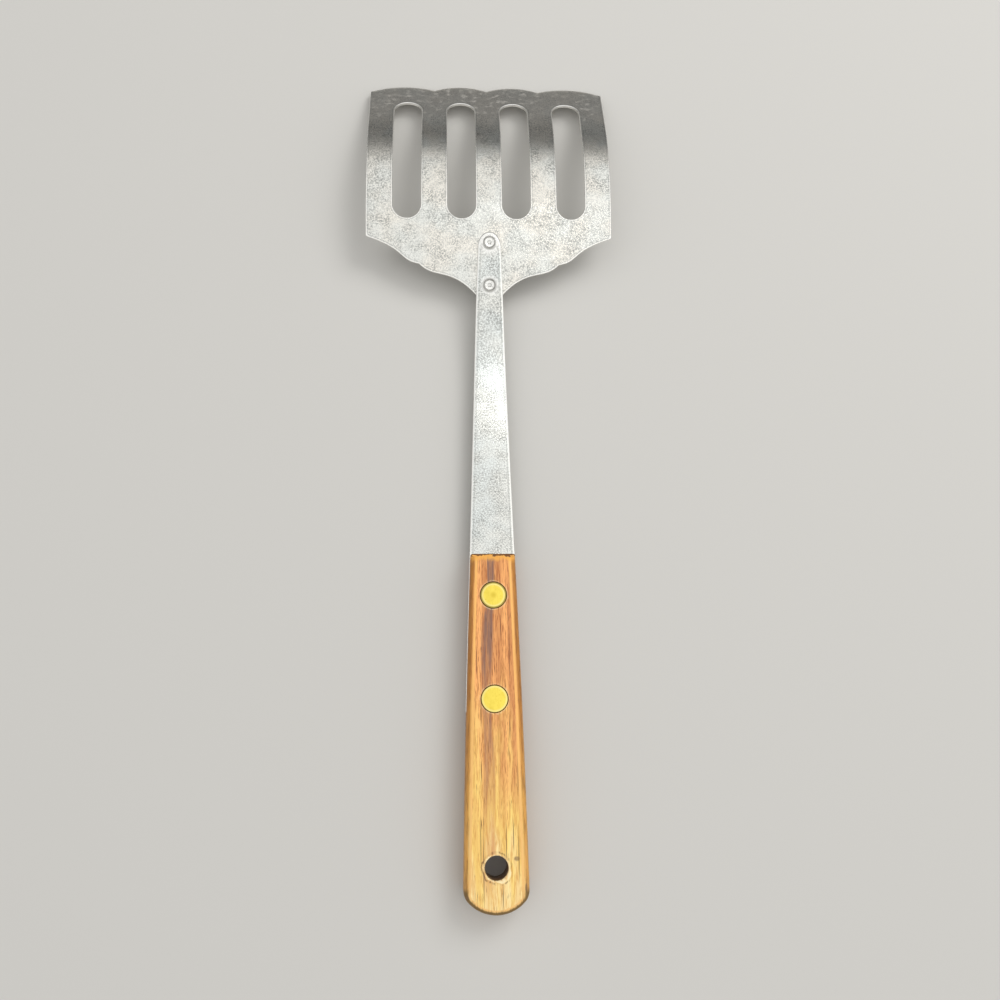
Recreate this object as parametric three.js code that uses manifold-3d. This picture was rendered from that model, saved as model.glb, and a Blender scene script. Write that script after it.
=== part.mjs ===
// Slotted spatula: a bent and slotted sheet-steel blade, riveted under a tapered flat shank whose
// half tang sits in the saw kerf of a one-piece wooden handle, held there by two brass rivets.
//
// Units are millimetres, and +Z is up. +Y runs from the handle's butt to the blade's front edge.
// The spatula lies on the plane Z = 0, on the handle's underside and the blade's front edge.
// The origin is on that plane, midway along the spatula.
// Distances named "from the neck" run along the bent steel, from where the blade meets the shank.

import * as THREE from 'three';
import { mergeVertices } from 'three/addons/utils/BufferGeometryUtils.js';
import Module from 'manifold-3d';

// Handle
const HANDLE_LENGTH = 105;
const HANDLE_THICKNESS = 11;
const HANDLE_FRONT_WIDTH = 13.9;
const HANDLE_BUTT_WIDTH = 19.2;
const HANDLE_SIDE_CROWN = 0.25;
const HANDLE_EDGE_RADIUS = 2.5;
const HANDLE_END_RADIUS = 1;
const BUTT_RISE = 5.2;
const HANG_HOLE_DIAMETER = 6.8;
const HANG_HOLE_CHAMFER = 0.4;
const HANG_HOLE_FROM_BUTT = 13;

// Shank and its tang
const SHANK_THICKNESS = 2;
const SHANK_EXPOSED_LENGTH = 87.8;
const SHANK_NECK_WIDTH = 8.8;
const SHANK_TIP_WIDTH = 7.6;
const SHANK_TIP_ROUND = 5;
const SHANK_EDGE_RADIUS = 0.45;
const TANG_LENGTH = 47.7;
const TANG_INSET = 0.1;
const KERF_CLEARANCE = 0.1;
const NECK_BEND_LENGTH = 26;
const NECK_BEND_ANGLE = THREE.MathUtils.degToRad(12.3);

// Blade
const BLADE_THICKNESS = 1;
const LAP_GAP = 0.1;
const LAP_FLAT_PAST_TIP = 7.2;
const CROWN_RADIUS = 62;
const SLOT_COUNT = 4;
const SLOT_WIDTH = 9.6;
const SLOT_LENGTH = 51.1;
const SLOT_FROM_NECK = 25.7;
const BAR_WIDTH = 8.7;
const FRONT_NOTCH_FROM_NECK = 84.9;
const FRONT_CORNER_SETBACK = 0.9;
const FRONT_CORNER_RADIUS = 0.9;
const SCALLOP_RISE = 2.3;
const REAR_CORNER_FROM_NECK = 19.35;
const REAR_CORNER_RADIUS = 0.6;
const SHOULDER_NOTCH_FROM_NECK = 10.3;
const SHOULDER_NOTCH_SPREAD = 46.7;
const TONGUE_RISE = 2.4;

// The shoulder's two S-curves: the slope at each end, in degrees from straight across, and the
// share of the curve's chord over which it holds to that slope
const NECK_SLOPE = 47;
const NECK_HOLD = 0.61;
const NOTCH_INNER_SLOPE = 45;
const NOTCH_OUTER_SLOPE = 9;
const NOTCH_HOLD = 0.36;
const REAR_CORNER_SLOPE = 18;
const REAR_CORNER_HOLD = 0.72;

// Rivets through the blade and the shank
const BLADE_RIVET_FROM_NECK = 2.7;
const BLADE_RIVET_SPACING = 14.3;
const BLADE_RIVET_TO_TIP = 3.6;
const BLADE_RIVET_HEAD_DIAMETER = 4.15;
const BLADE_RIVET_HEAD_HEIGHT = 0.5;
const BLADE_RIVET_RIM_WIDTH = 0.5;
const BLADE_RIVET_DISH_DEPTH = 0.18;
const BLADE_RIVET_DIMPLE_DIAMETER = 1.2;
const BLADE_RIVET_DIMPLE_DEPTH = 0.25;
const BLADE_RIVET_SHAFT_DIAMETER = 2.4;
const BLADE_RIVET_TAIL_DIAMETER = 4;
const BLADE_RIVET_TAIL_HEIGHT = 0.55;

// Two-piece rivets through the handle and the tang
const HANDLE_RIVET_FROM_FRONT = 12.9;
const HANDLE_RIVET_FROM_TANG_END = 3.6;
const HANDLE_RIVET_HEAD_DIAMETER = 8;
const HANDLE_RIVET_HEAD_THICKNESS = 1.5;
const HANDLE_RIVET_RING_GAP = 0.3;
const SOCKET_BARREL_DIAMETER = 4.8;
const SOCKET_END_GAP = 1.2;
const POST_DIAMETER = 3;
const POST_TIP_CHAMFER = 0.3;

// Fits shared by all rivets
const SEAT_GAP = 0.05;
const SHAFT_CLEARANCE = 0.2;

// Facets
const ROUND_SEGMENTS = 32;
const CURVE_DIVISIONS = 8;
const BEND_STEPS = 14;
const HANDLE_STEPS = 12;
const EDGE_STEPS = 3;
const SOLVER_STEPS = 50;
const WELD_DISTANCE = 1e-4;
const CUT_OVERRUN = 1;

// Sizes worked out from the driving dimensions
const shankMidHeight = HANDLE_THICKNESS / 2;
const slotPitch = SLOT_WIDTH + BAR_WIDTH;
const bladeHalfWidth = (SLOT_COUNT * SLOT_WIDTH + (SLOT_COUNT + 1) * BAR_WIDTH) / 2;
const frontRivetFromNeck = BLADE_RIVET_FROM_NECK + BLADE_RIVET_SPACING;
const tipFromNeck = frontRivetFromNeck + BLADE_RIVET_TO_TIP;
const crestFromNeck = FRONT_NOTCH_FROM_NECK + SCALLOP_RISE;
const bladeTopOffset = -SHANK_THICKNESS / 2 - LAP_GAP;
const bladeUndersideOffset = bladeTopOffset - BLADE_THICKNESS;
const buttCornerFromFront = HANDLE_LENGTH - BUTT_RISE;
const handleRivetsFromFront = {
  front: HANDLE_RIVET_FROM_FRONT,
  rear: TANG_LENGTH - HANDLE_RIVET_FROM_TANG_END,
};
const bladeRivetsFromNeck = { front: frontRivetFromNeck, rear: BLADE_RIVET_FROM_NECK };

const wasm = await Module();
wasm.setup();

const steel = new THREE.MeshStandardMaterial({ color: 0xc9c9c4, metalness: 1, roughness: 0.35 });
const rivetSteel = new THREE.MeshStandardMaterial({ color: 0xd2d2cd, metalness: 1, roughness: 0.3 });
const wood = new THREE.MeshStandardMaterial({ color: 0xb9793c, metalness: 0, roughness: 0.55 });
const brass = new THREE.MeshStandardMaterial({ color: 0xd9b84a, metalness: 1, roughness: 0.4 });

// Solids

// Merges shared vertices and drops triangles that have collapsed, so that the mesh is closed.
function weld(geometry) {
  const plain = geometry.clone();
  plain.deleteAttribute('normal');
  plain.deleteAttribute('uv');
  const welded = mergeVertices(plain, WELD_DISTANCE);
  const index = [];
  for (let i = 0; i < welded.index.count; i += 3) {
    const [a, b, c] = [0, 1, 2].map((corner) => welded.index.getX(i + corner));
    if (a !== b && b !== c && c !== a) index.push(a, b, c);
  }
  welded.setIndex(index);
  return welded;
}

function toSolid(geometry) {
  const welded = weld(geometry);
  return new wasm.Manifold(new wasm.Mesh({
    numProp: 3,
    vertProperties: new Float32Array(welded.attributes.position.array),
    triVerts: new Uint32Array(welded.index.array),
  }));
}

function toGeometry(solid) {
  const { vertProperties, triVerts } = solid.getMesh();
  const geometry = new THREE.BufferGeometry();
  geometry.setAttribute('position', new THREE.BufferAttribute(vertProperties, 3));
  geometry.setIndex(new THREE.BufferAttribute(triVerts, 1));
  return geometry;
}

function namedMesh(name, geometry, material) {
  const faceted = geometry.toNonIndexed();
  faceted.computeVertexNormals();
  const mesh = new THREE.Mesh(faceted, material);
  mesh.name = name;
  return mesh;
}

// Revolves [radius, height] pairs, listed from the bottom up, about the Z axis.
function revolve(profile) {
  const points = profile.map(([radius, height]) => new THREE.Vector2(radius, height));
  return weld(new THREE.LatheGeometry(points, ROUND_SEGMENTS).rotateX(Math.PI / 2));
}

// Outlines

// Adds an arc to a path, bulging by the given rise to the right of its direction of travel.
function arcTo(path, x, y, rise) {
  const start = path.currentPoint.clone();
  const end = new THREE.Vector2(x, y);
  const chord = end.clone().sub(start);
  const radius = (chord.lengthSq() / 4 + rise * rise) / (2 * rise);
  const towardsCentre = new THREE.Vector2(-chord.y, chord.x).normalize();
  const centre = start.clone().add(end).multiplyScalar(0.5);
  centre.addScaledVector(towardsCentre, radius - rise);
  const startAngle = Math.atan2(start.y - centre.y, start.x - centre.x);
  const endAngle = Math.atan2(end.y - centre.y, end.x - centre.x);
  path.absarc(centre.x, centre.y, radius, startAngle, endAngle, false);
}

// Adds an S-curve to a path, which holds to a slope from the X axis at each of its ends.
function curveTo(path, x, y, start, end) {
  const { x: startX, y: startY } = path.currentPoint;
  const chord = Math.hypot(x - startX, y - startY);
  const [startAngle, endAngle] = [start, end].map(({ slope }) => THREE.MathUtils.degToRad(slope));
  const [startReach, endReach] = [start.hold * chord, end.hold * chord];
  path.bezierCurveTo(
    startX + startReach * Math.cos(startAngle), startY + startReach * Math.sin(startAngle),
    x - endReach * Math.cos(endAngle), y - endReach * Math.sin(endAngle),
    x, y,
  );
}

// Closes a right-hand outline with its mirror image. Points that join the two may come between.
function mirroredShape(rightPath, joiningPoints = []) {
  const right = rightPath.getPoints(CURVE_DIVISIONS);
  const offCentre = right.filter((point) => point.x > WELD_DISTANCE);
  const left = offCentre.reverse().map((point) => new THREE.Vector2(-point.x, point.y));
  return new THREE.Shape([...right, ...joiningPoints, ...left]);
}

function roundHole(x, y, diameter) {
  return new THREE.Path().absarc(x, y, diameter / 2, 0, 2 * Math.PI, true);
}

// Bending

// The steel's side profile, as runs that each turn by an angle along their length.
function sideProfile(lipAngle) {
  const turnDown = NECK_BEND_ANGLE + lipAngle;
  const lapLength = tipFromNeck + LAP_FLAT_PAST_TIP;
  const crownLength = CROWN_RADIUS * turnDown;
  return [
    { length: SHANK_EXPOSED_LENGTH - NECK_BEND_LENGTH, turn: 0 },
    { length: NECK_BEND_LENGTH, turn: NECK_BEND_ANGLE },
    { length: lapLength, turn: 0 },
    { length: crownLength, turn: -turnDown },
    { length: Infinity, turn: 0 },
  ];
}

// The place and slope of the shank's middle layer, a distance along it from the handle's front.
function alongProfile(profile, distance) {
  let [y, z, angle, left] = [0, shankMidHeight, 0, distance];
  for (const { length, turn } of profile) {
    const step = Math.min(left, length);
    const stepTurn = turn === 0 ? 0 : turn * (step / length);
    if (stepTurn === 0) {
      y += step * Math.cos(angle);
      z += step * Math.sin(angle);
    } else {
      const radius = length / turn;
      y += radius * (Math.sin(angle + stepTurn) - Math.sin(angle));
      z += radius * (Math.cos(angle) - Math.cos(angle + stepTurn));
    }
    angle += stepTurn;
    left -= step;
    if (left <= 0) break;
  }
  return { y, z, angle };
}

function bentPoint(profile, distance, offset) {
  const { y, z, angle } = alongProfile(profile, distance);
  return { y: y - offset * Math.sin(angle), z: z + offset * Math.cos(angle), angle };
}

// The lip slopes down until the front edge's underside is level with the handle's underside.
function solveLipAngle() {
  let [low, high] = [0, Math.PI / 2];
  for (let i = 0; i < SOLVER_STEPS; i += 1) {
    const middle = (low + high) / 2;
    const crest = SHANK_EXPOSED_LENGTH + crestFromNeck;
    const { z } = bentPoint(sideProfile(middle), crest, bladeUndersideOffset);
    if (z > 0) low = middle;
    else high = middle;
  }
  return low;
}

const profile = sideProfile(solveLipAngle());

// Distances along the steel at which a flat blank is divided, so that its bends come out round.
function bendStations() {
  const stations = [];
  let start = 0;
  for (const { length, turn } of profile) {
    if (turn !== 0) {
      for (let i = 0; i <= BEND_STEPS; i += 1) stations.push(start + (length * i) / BEND_STEPS);
    }
    start += length;
  }
  return stations;
}

// Cuts a flat blank into bands at the bend stations. Each band keeps its own small set of triangles.
function bandsOf(blank) {
  const whole = toSolid(blank);
  const { min, max } = whole.boundingBox();
  const [width, thickness] = [max[0] - min[0], max[2] - min[2]];
  const stations = bendStations().filter((station) => station > min[1] && station < max[1]);
  const limits = [min[1] - CUT_OVERRUN, ...stations, max[1] + CUT_OVERRUN];
  return limits.slice(1).map((end, i) => {
    const start = limits[i];
    const box = new THREE.BoxGeometry(width + CUT_OVERRUN, end - start, thickness + CUT_OVERRUN);
    box.translate((min[0] + max[0]) / 2, (start + end) / 2, (min[2] + max[2]) / 2);
    const band = toGeometry(whole.intersect(toSolid(box))).toNonIndexed();
    return { positions: band.attributes.position, limits: [start, end] };
  });
}

// Bends a flat blank: X stays across, Y is the distance along the steel, Z is the offset above it.
// The bands' end faces are left out, so that the bands join into one body.
function bend(blank) {
  const bent = [];
  for (const { positions, limits } of bandsOf(blank)) {
    for (let i = 0; i < positions.count; i += 3) {
      const corners = [i, i + 1, i + 2].map((j) => new THREE.Vector3().fromBufferAttribute(positions, j));
      const isEndFace = limits.some((limit) => (
        corners.every((corner) => Math.abs(corner.y - limit) < WELD_DISTANCE)
      ));
      if (isEndFace) continue;
      for (const { x, y: distance, z: offset } of corners) {
        const { y, z } = bentPoint(profile, distance, offset);
        bent.push(new THREE.Vector3(x, y, z));
      }
    }
  }
  return weld(new THREE.BufferGeometry().setFromPoints(bent));
}

// Blade

function slotOutline(x) {
  const radius = SLOT_WIDTH / 2;
  const rear = SHANK_EXPOSED_LENGTH + SLOT_FROM_NECK + radius;
  const front = rear + SLOT_LENGTH - SLOT_WIDTH;
  return new THREE.Path()
    .absarc(x, rear, radius, Math.PI, 2 * Math.PI, false)
    .absarc(x, front, radius, 0, Math.PI, false);
}

// The scalloped front edge, from its right-hand corner to its left-hand one.
function frontPoints(cornerX, cornerY) {
  const front = new THREE.Path().moveTo(cornerX, cornerY);
  const notchY = SHANK_EXPOSED_LENGTH + FRONT_NOTCH_FROM_NECK;
  const firstNotchX = (SLOT_COUNT / 2 - 1) * slotPitch;
  for (let i = 0; i < SLOT_COUNT - 1; i += 1) {
    arcTo(front, firstNotchX - i * slotPitch, notchY, SCALLOP_RISE);
  }
  arcTo(front, -cornerX, cornerY, SCALLOP_RISE);
  return front.getPoints(CURVE_DIVISIONS).slice(1, -1);
}

function bladeOutline() {
  const neck = SHANK_EXPOSED_LENGTH;
  const rearCornerY = neck + REAR_CORNER_FROM_NECK;
  const rearSlope = THREE.MathUtils.degToRad(REAR_CORNER_SLOPE);
  const frontCornerY = neck + FRONT_NOTCH_FROM_NECK - FRONT_CORNER_SETBACK;
  const frontCornerX = bladeHalfWidth - FRONT_CORNER_RADIUS;
  const right = new THREE.Path().moveTo(0, neck - TONGUE_RISE);
  right.quadraticCurveTo(SHANK_NECK_WIDTH / 3, neck - TONGUE_RISE, SHANK_NECK_WIDTH / 2, neck);
  curveTo(
    right, SHOULDER_NOTCH_SPREAD / 2, neck + SHOULDER_NOTCH_FROM_NECK,
    { slope: NECK_SLOPE, hold: NECK_HOLD },
    { slope: NOTCH_INNER_SLOPE, hold: NOTCH_HOLD },
  );
  curveTo(
    right,
    bladeHalfWidth - REAR_CORNER_RADIUS * Math.cos(rearSlope),
    rearCornerY - REAR_CORNER_RADIUS * Math.sin(rearSlope),
    { slope: NOTCH_OUTER_SLOPE, hold: NOTCH_HOLD },
    { slope: REAR_CORNER_SLOPE, hold: REAR_CORNER_HOLD },
  );
  right.quadraticCurveTo(bladeHalfWidth, rearCornerY, bladeHalfWidth, rearCornerY + REAR_CORNER_RADIUS);
  right.lineTo(bladeHalfWidth, frontCornerY - FRONT_CORNER_RADIUS);
  right.absarc(
    frontCornerX, frontCornerY - FRONT_CORNER_RADIUS, FRONT_CORNER_RADIUS, 0, Math.PI / 2, false,
  );
  return mirroredShape(right, frontPoints(frontCornerX, frontCornerY));
}

function makeBlade() {
  const outline = bladeOutline();
  for (let i = 0; i < SLOT_COUNT; i += 1) {
    outline.holes.push(slotOutline((i - (SLOT_COUNT - 1) / 2) * slotPitch));
  }
  for (const fromNeck of Object.values(bladeRivetsFromNeck)) {
    const diameter = BLADE_RIVET_SHAFT_DIAMETER + 2 * SHAFT_CLEARANCE;
    outline.holes.push(roundHole(0, SHANK_EXPOSED_LENGTH + fromNeck, diameter));
  }
  const blank = new THREE.ExtrudeGeometry(outline, {
    depth: BLADE_THICKNESS,
    curveSegments: CURVE_DIVISIONS,
    bevelEnabled: false,
  });
  blank.translate(0, 0, bladeUndersideOffset);
  return namedMesh('blade', bend(blank), steel);
}

// Shank

// Half the handle's width, a distance back from its front.
function handleHalfWidth(fromFront) {
  const share = fromFront / buttCornerFromFront;
  const taper = THREE.MathUtils.lerp(HANDLE_FRONT_WIDTH, HANDLE_BUTT_WIDTH, share) / 2;
  return taper + 4 * HANDLE_SIDE_CROWN * share * (1 - share);
}

function shankOutline() {
  const tip = SHANK_EXPOSED_LENGTH + tipFromNeck;
  const shoulder = tip - SHANK_TIP_ROUND;
  const right = new THREE.Path().moveTo(0, -TANG_LENGTH);
  for (let i = CURVE_DIVISIONS; i >= 0; i -= 1) {
    const fromFront = (TANG_LENGTH * i) / CURVE_DIVISIONS;
    right.lineTo(handleHalfWidth(fromFront) - TANG_INSET, -fromFront);
  }
  right.lineTo(SHANK_NECK_WIDTH / 2, SHANK_EXPOSED_LENGTH);
  right.lineTo(SHANK_TIP_WIDTH / 2, shoulder);
  right.absellipse(0, shoulder, SHANK_TIP_WIDTH / 2, SHANK_TIP_ROUND, 0, Math.PI / 2, false);
  return mirroredShape(right);
}

function makeShank() {
  const outline = shankOutline();
  for (const fromFront of Object.values(handleRivetsFromFront)) {
    const diameter = SOCKET_BARREL_DIAMETER + 2 * SHAFT_CLEARANCE;
    outline.holes.push(roundHole(0, -fromFront, diameter));
  }
  for (const fromNeck of Object.values(bladeRivetsFromNeck)) {
    const diameter = BLADE_RIVET_SHAFT_DIAMETER + 2 * SHAFT_CLEARANCE;
    outline.holes.push(roundHole(0, SHANK_EXPOSED_LENGTH + fromNeck, diameter));
  }
  const blank = new THREE.ExtrudeGeometry(outline, {
    depth: SHANK_THICKNESS - 2 * SHANK_EDGE_RADIUS,
    curveSegments: CURVE_DIVISIONS,
    bevelThickness: SHANK_EDGE_RADIUS,
    bevelSize: SHANK_EDGE_RADIUS,
    bevelOffset: -SHANK_EDGE_RADIUS,
    bevelSegments: EDGE_STEPS,
  });
  blank.translate(0, 0, SHANK_EDGE_RADIUS - SHANK_THICKNESS / 2);
  return namedMesh('shank', bend(blank), steel);
}

// Blade rivets: a dished head on the shank, a shaft through both pieces and a tail under the blade

function makeBladeRivet(place) {
  const headRadius = BLADE_RIVET_HEAD_DIAMETER / 2;
  const dishRadius = headRadius - BLADE_RIVET_RIM_WIDTH;
  const dimpleRadius = BLADE_RIVET_DIMPLE_DIAMETER / 2;
  const shaftRadius = BLADE_RIVET_SHAFT_DIAMETER / 2;
  const tailRadius = BLADE_RIVET_TAIL_DIAMETER / 2;
  const tailTop = -(SHANK_THICKNESS + LAP_GAP + BLADE_THICKNESS + SEAT_GAP);
  const tailEnd = tailTop - BLADE_RIVET_TAIL_HEIGHT;
  const headTop = SEAT_GAP + BLADE_RIVET_HEAD_HEIGHT;
  const dish = headTop - BLADE_RIVET_DISH_DEPTH;
  const rimRounding = BLADE_RIVET_RIM_WIDTH / 3;
  const geometry = revolve([
    [0, tailEnd],
    [tailRadius / 2, tailEnd],
    [tailRadius, (tailTop + tailEnd) / 2],
    [tailRadius, tailTop],
    [shaftRadius, tailTop],
    [shaftRadius, SEAT_GAP],
    [headRadius, SEAT_GAP],
    [headRadius, (SEAT_GAP + dish) / 2],
    [headRadius - rimRounding, headTop],
    [dishRadius + rimRounding, headTop],
    [dishRadius, dish],
    [dimpleRadius, dish],
    [dimpleRadius / 2, dish - BLADE_RIVET_DIMPLE_DEPTH],
    [0, dish - BLADE_RIVET_DIMPLE_DEPTH],
  ]);
  const mesh = namedMesh(`blade_rivet_${place}`, geometry, rivetSteel);
  const distance = SHANK_EXPOSED_LENGTH + bladeRivetsFromNeck[place];
  const seat = bentPoint(profile, distance, SHANK_THICKNESS / 2);
  mesh.position.set(0, seat.y, seat.z);
  mesh.rotation.x = seat.angle;
  return mesh;
}

// Handle: a tapered bar with rounded long edges, trimmed to its plan, then sawn and bored

function handleBar() {
  const [halfWidth, halfHeight] = [HANDLE_FRONT_WIDTH / 2, HANDLE_THICKNESS / 2];
  const [flatX, flatZ] = [halfWidth - HANDLE_EDGE_RADIUS, halfHeight - HANDLE_EDGE_RADIUS];
  const section = new THREE.Shape();
  const corners = [[flatX, -flatZ, -90], [flatX, flatZ, 0], [-flatX, flatZ, 90], [-flatX, -flatZ, 180]];
  for (const [x, z, startDegrees] of corners) {
    const start = THREE.MathUtils.degToRad(startDegrees);
    section.absarc(x, z, HANDLE_EDGE_RADIUS, start, start + Math.PI / 2, false);
  }
  const bar = new THREE.ExtrudeGeometry(section, {
    depth: HANDLE_LENGTH + 2 * CUT_OVERRUN,
    steps: HANDLE_STEPS,
    curveSegments: EDGE_STEPS,
    bevelEnabled: false,
  });
  bar.translate(0, 0, -CUT_OVERRUN);
  const position = bar.attributes.position;
  for (let i = 0; i < position.count; i += 1) {
    const [x, height, fromFront] = [position.getX(i), position.getY(i), position.getZ(i)];
    const spread = handleHalfWidth(fromFront) - halfWidth;
    position.setXYZ(i, x + Math.sign(x) * spread, -fromFront, height + halfHeight);
  }
  return toSolid(bar);
}

function handlePlan() {
  const halfWidth = HANDLE_BUTT_WIDTH / 2;
  const radius = (halfWidth * halfWidth + BUTT_RISE * BUTT_RISE) / (2 * BUTT_RISE);
  const right = new THREE.Path().moveTo(0, -HANDLE_LENGTH);
  right.absarc(0, radius - HANDLE_LENGTH, radius, -Math.PI / 2, 0, false);
  right.lineTo(radius, 0);
  right.lineTo(0, 0);
  const plan = new THREE.ExtrudeGeometry(mirroredShape(right), {
    depth: HANDLE_THICKNESS - 2 * HANDLE_END_RADIUS,
    curveSegments: CURVE_DIVISIONS,
    bevelThickness: HANDLE_END_RADIUS,
    bevelSize: HANDLE_END_RADIUS,
    bevelOffset: -HANDLE_END_RADIUS,
    bevelSegments: EDGE_STEPS,
  });
  return toSolid(plan.translate(0, 0, HANDLE_END_RADIUS));
}

function kerfCutter() {
  const length = TANG_LENGTH + KERF_CLEARANCE + CUT_OVERRUN;
  const height = SHANK_THICKNESS + 2 * KERF_CLEARANCE;
  const kerf = new THREE.BoxGeometry(2 * HANDLE_BUTT_WIDTH, length, height);
  return toSolid(kerf.translate(0, CUT_OVERRUN - length / 2, shankMidHeight));
}

function rivetCutter(fromFront) {
  const boreRadius = SOCKET_BARREL_DIAMETER / 2 + SHAFT_CLEARANCE;
  const headRadius = HANDLE_RIVET_HEAD_DIAMETER / 2 + HANDLE_RIVET_RING_GAP;
  const seat = HANDLE_RIVET_HEAD_THICKNESS + SEAT_GAP;
  const cutter = revolve([
    [0, -CUT_OVERRUN],
    [headRadius, -CUT_OVERRUN],
    [headRadius, seat],
    [boreRadius, seat],
    [boreRadius, HANDLE_THICKNESS - seat],
    [headRadius, HANDLE_THICKNESS - seat],
    [headRadius, HANDLE_THICKNESS + CUT_OVERRUN],
    [0, HANDLE_THICKNESS + CUT_OVERRUN],
  ]);
  return toSolid(cutter.translate(0, -fromFront, 0));
}

function hangHoleCutter() {
  const radius = HANG_HOLE_DIAMETER / 2;
  const mouthRadius = radius + HANG_HOLE_CHAMFER + CUT_OVERRUN;
  const cutter = revolve([
    [0, -CUT_OVERRUN],
    [mouthRadius, -CUT_OVERRUN],
    [radius, HANG_HOLE_CHAMFER],
    [radius, HANDLE_THICKNESS - HANG_HOLE_CHAMFER],
    [mouthRadius, HANDLE_THICKNESS + CUT_OVERRUN],
    [0, HANDLE_THICKNESS + CUT_OVERRUN],
  ]);
  return toSolid(cutter.translate(0, HANG_HOLE_FROM_BUTT - HANDLE_LENGTH, 0));
}

function makeHandle() {
  let handle = handleBar().intersect(handlePlan()).subtract(kerfCutter());
  for (const fromFront of Object.values(handleRivetsFromFront)) {
    handle = handle.subtract(rivetCutter(fromFront));
  }
  handle = handle.subtract(hangHoleCutter());
  return namedMesh('handle', toGeometry(handle), wood);
}

// Handle rivets: a socket let in from above and a post let in from below, both flush with the wood

function makeSocket(place) {
  const headRadius = HANDLE_RIVET_HEAD_DIAMETER / 2;
  const barrelRadius = SOCKET_BARREL_DIAMETER / 2;
  const boreRadius = POST_DIAMETER / 2 + SHAFT_CLEARANCE;
  const headUnderside = HANDLE_THICKNESS - HANDLE_RIVET_HEAD_THICKNESS;
  const barrelEnd = HANDLE_RIVET_HEAD_THICKNESS + SOCKET_END_GAP;
  const geometry = revolve([
    [0, headUnderside],
    [boreRadius, headUnderside],
    [boreRadius, barrelEnd],
    [barrelRadius, barrelEnd],
    [barrelRadius, headUnderside],
    [headRadius, headUnderside],
    [headRadius, HANDLE_THICKNESS],
    [0, HANDLE_THICKNESS],
  ]);
  const mesh = namedMesh(`handle_rivet_${place}_socket`, geometry, brass);
  mesh.position.y = -handleRivetsFromFront[place];
  return mesh;
}

function makePost(place) {
  const headRadius = HANDLE_RIVET_HEAD_DIAMETER / 2;
  const postRadius = POST_DIAMETER / 2;
  const tip = HANDLE_THICKNESS - HANDLE_RIVET_HEAD_THICKNESS - SOCKET_END_GAP;
  const geometry = revolve([
    [0, 0],
    [headRadius, 0],
    [headRadius, HANDLE_RIVET_HEAD_THICKNESS],
    [postRadius, HANDLE_RIVET_HEAD_THICKNESS],
    [postRadius, tip - POST_TIP_CHAMFER],
    [postRadius - POST_TIP_CHAMFER, tip],
    [0, tip],
  ]);
  const mesh = namedMesh(`handle_rivet_${place}_post`, geometry, brass);
  mesh.position.y = -handleRivetsFromFront[place];
  return mesh;
}

// Assembly

const spatula = new THREE.Group();
spatula.add(makeBlade(), makeShank(), makeHandle());
for (const place of ['front', 'rear']) {
  spatula.add(makeBladeRivet(place), makeSocket(place), makePost(place));
}
const frontEdge = bentPoint(profile, SHANK_EXPOSED_LENGTH + crestFromNeck, bladeTopOffset).y;
spatula.position.y = (HANDLE_LENGTH - frontEdge) / 2;

export default spatula;
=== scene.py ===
"""Slotted spatula: the finished look of a riveted steel turner with a worn wooden handle.

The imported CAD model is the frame, and each piece is built over the CAD nodes that it stands for.
Lengths are metres. +Y runs from the handle's butt to the blade's front edge, and +Z is up.
Distances "along the steel" run from the handle's front, and those "from the neck" from where the
blade meets the shank.
"""

import math

import bpy
import numpy as np
from bpy.props import FloatProperty, FloatVectorProperty, IntProperty, PointerProperty
from mathutils import Euler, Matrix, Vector, kdtree
from mathutils.geometry import delaunay_2d_cdt


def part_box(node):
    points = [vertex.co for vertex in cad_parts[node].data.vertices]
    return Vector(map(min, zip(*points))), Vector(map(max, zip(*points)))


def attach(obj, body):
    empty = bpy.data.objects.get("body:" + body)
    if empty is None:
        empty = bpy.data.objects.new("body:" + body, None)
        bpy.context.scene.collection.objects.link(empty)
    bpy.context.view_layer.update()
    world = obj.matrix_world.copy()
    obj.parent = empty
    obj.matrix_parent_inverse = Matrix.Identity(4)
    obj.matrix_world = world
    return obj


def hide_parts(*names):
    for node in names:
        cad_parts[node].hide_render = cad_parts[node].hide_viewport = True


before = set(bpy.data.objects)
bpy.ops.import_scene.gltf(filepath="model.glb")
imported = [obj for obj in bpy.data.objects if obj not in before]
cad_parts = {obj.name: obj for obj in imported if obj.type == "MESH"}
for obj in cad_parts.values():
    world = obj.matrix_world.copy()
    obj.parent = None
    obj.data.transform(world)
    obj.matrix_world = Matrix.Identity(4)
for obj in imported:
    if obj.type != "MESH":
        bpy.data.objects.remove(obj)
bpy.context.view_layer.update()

bl_info = {
    "name": "Slotted spatula",
    "version": (1, 0, 0),
    "blender": (4, 5, 0),
    "location": "View3D > Sidebar > Spatula",
    "description": "Builds a slotted spatula piece by piece, with its finishes and a studio stage",
    "category": "Add Mesh",
}

MM = 0.001
BODY = "root"

# Where the CAD pieces lie
HANDLE_LOW, HANDLE_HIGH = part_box("handle")
HANDLE_FRONT = HANDLE_HIGH.y
HANDLE_BUTT = HANDLE_LOW.y
HANDLE_TOP = HANDLE_HIGH.z
BLADE_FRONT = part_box("blade")[1].y

# Facets
EDGE_STEPS = 5
CORNER_STEPS = 5
CORNER_REACH = 0.45  # most of a side that the easing of its corner takes
FINER = 3  # points round a corner are this many times as close as along a side
COARSER = 1.5  # and those over the handle's faces are this many times as far apart
GRID_CLEARANCE = 0.6  # room between the grid and an edge, in steps of the grid
LATHE_SEGMENTS = 72
SHARP_ANGLE = math.radians(32)
SOLVER_STEPS = 50
INSIDE_BATCH = 1000
WELD = 1e-7
CUT_OVERRUN = 1 * MM

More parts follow.
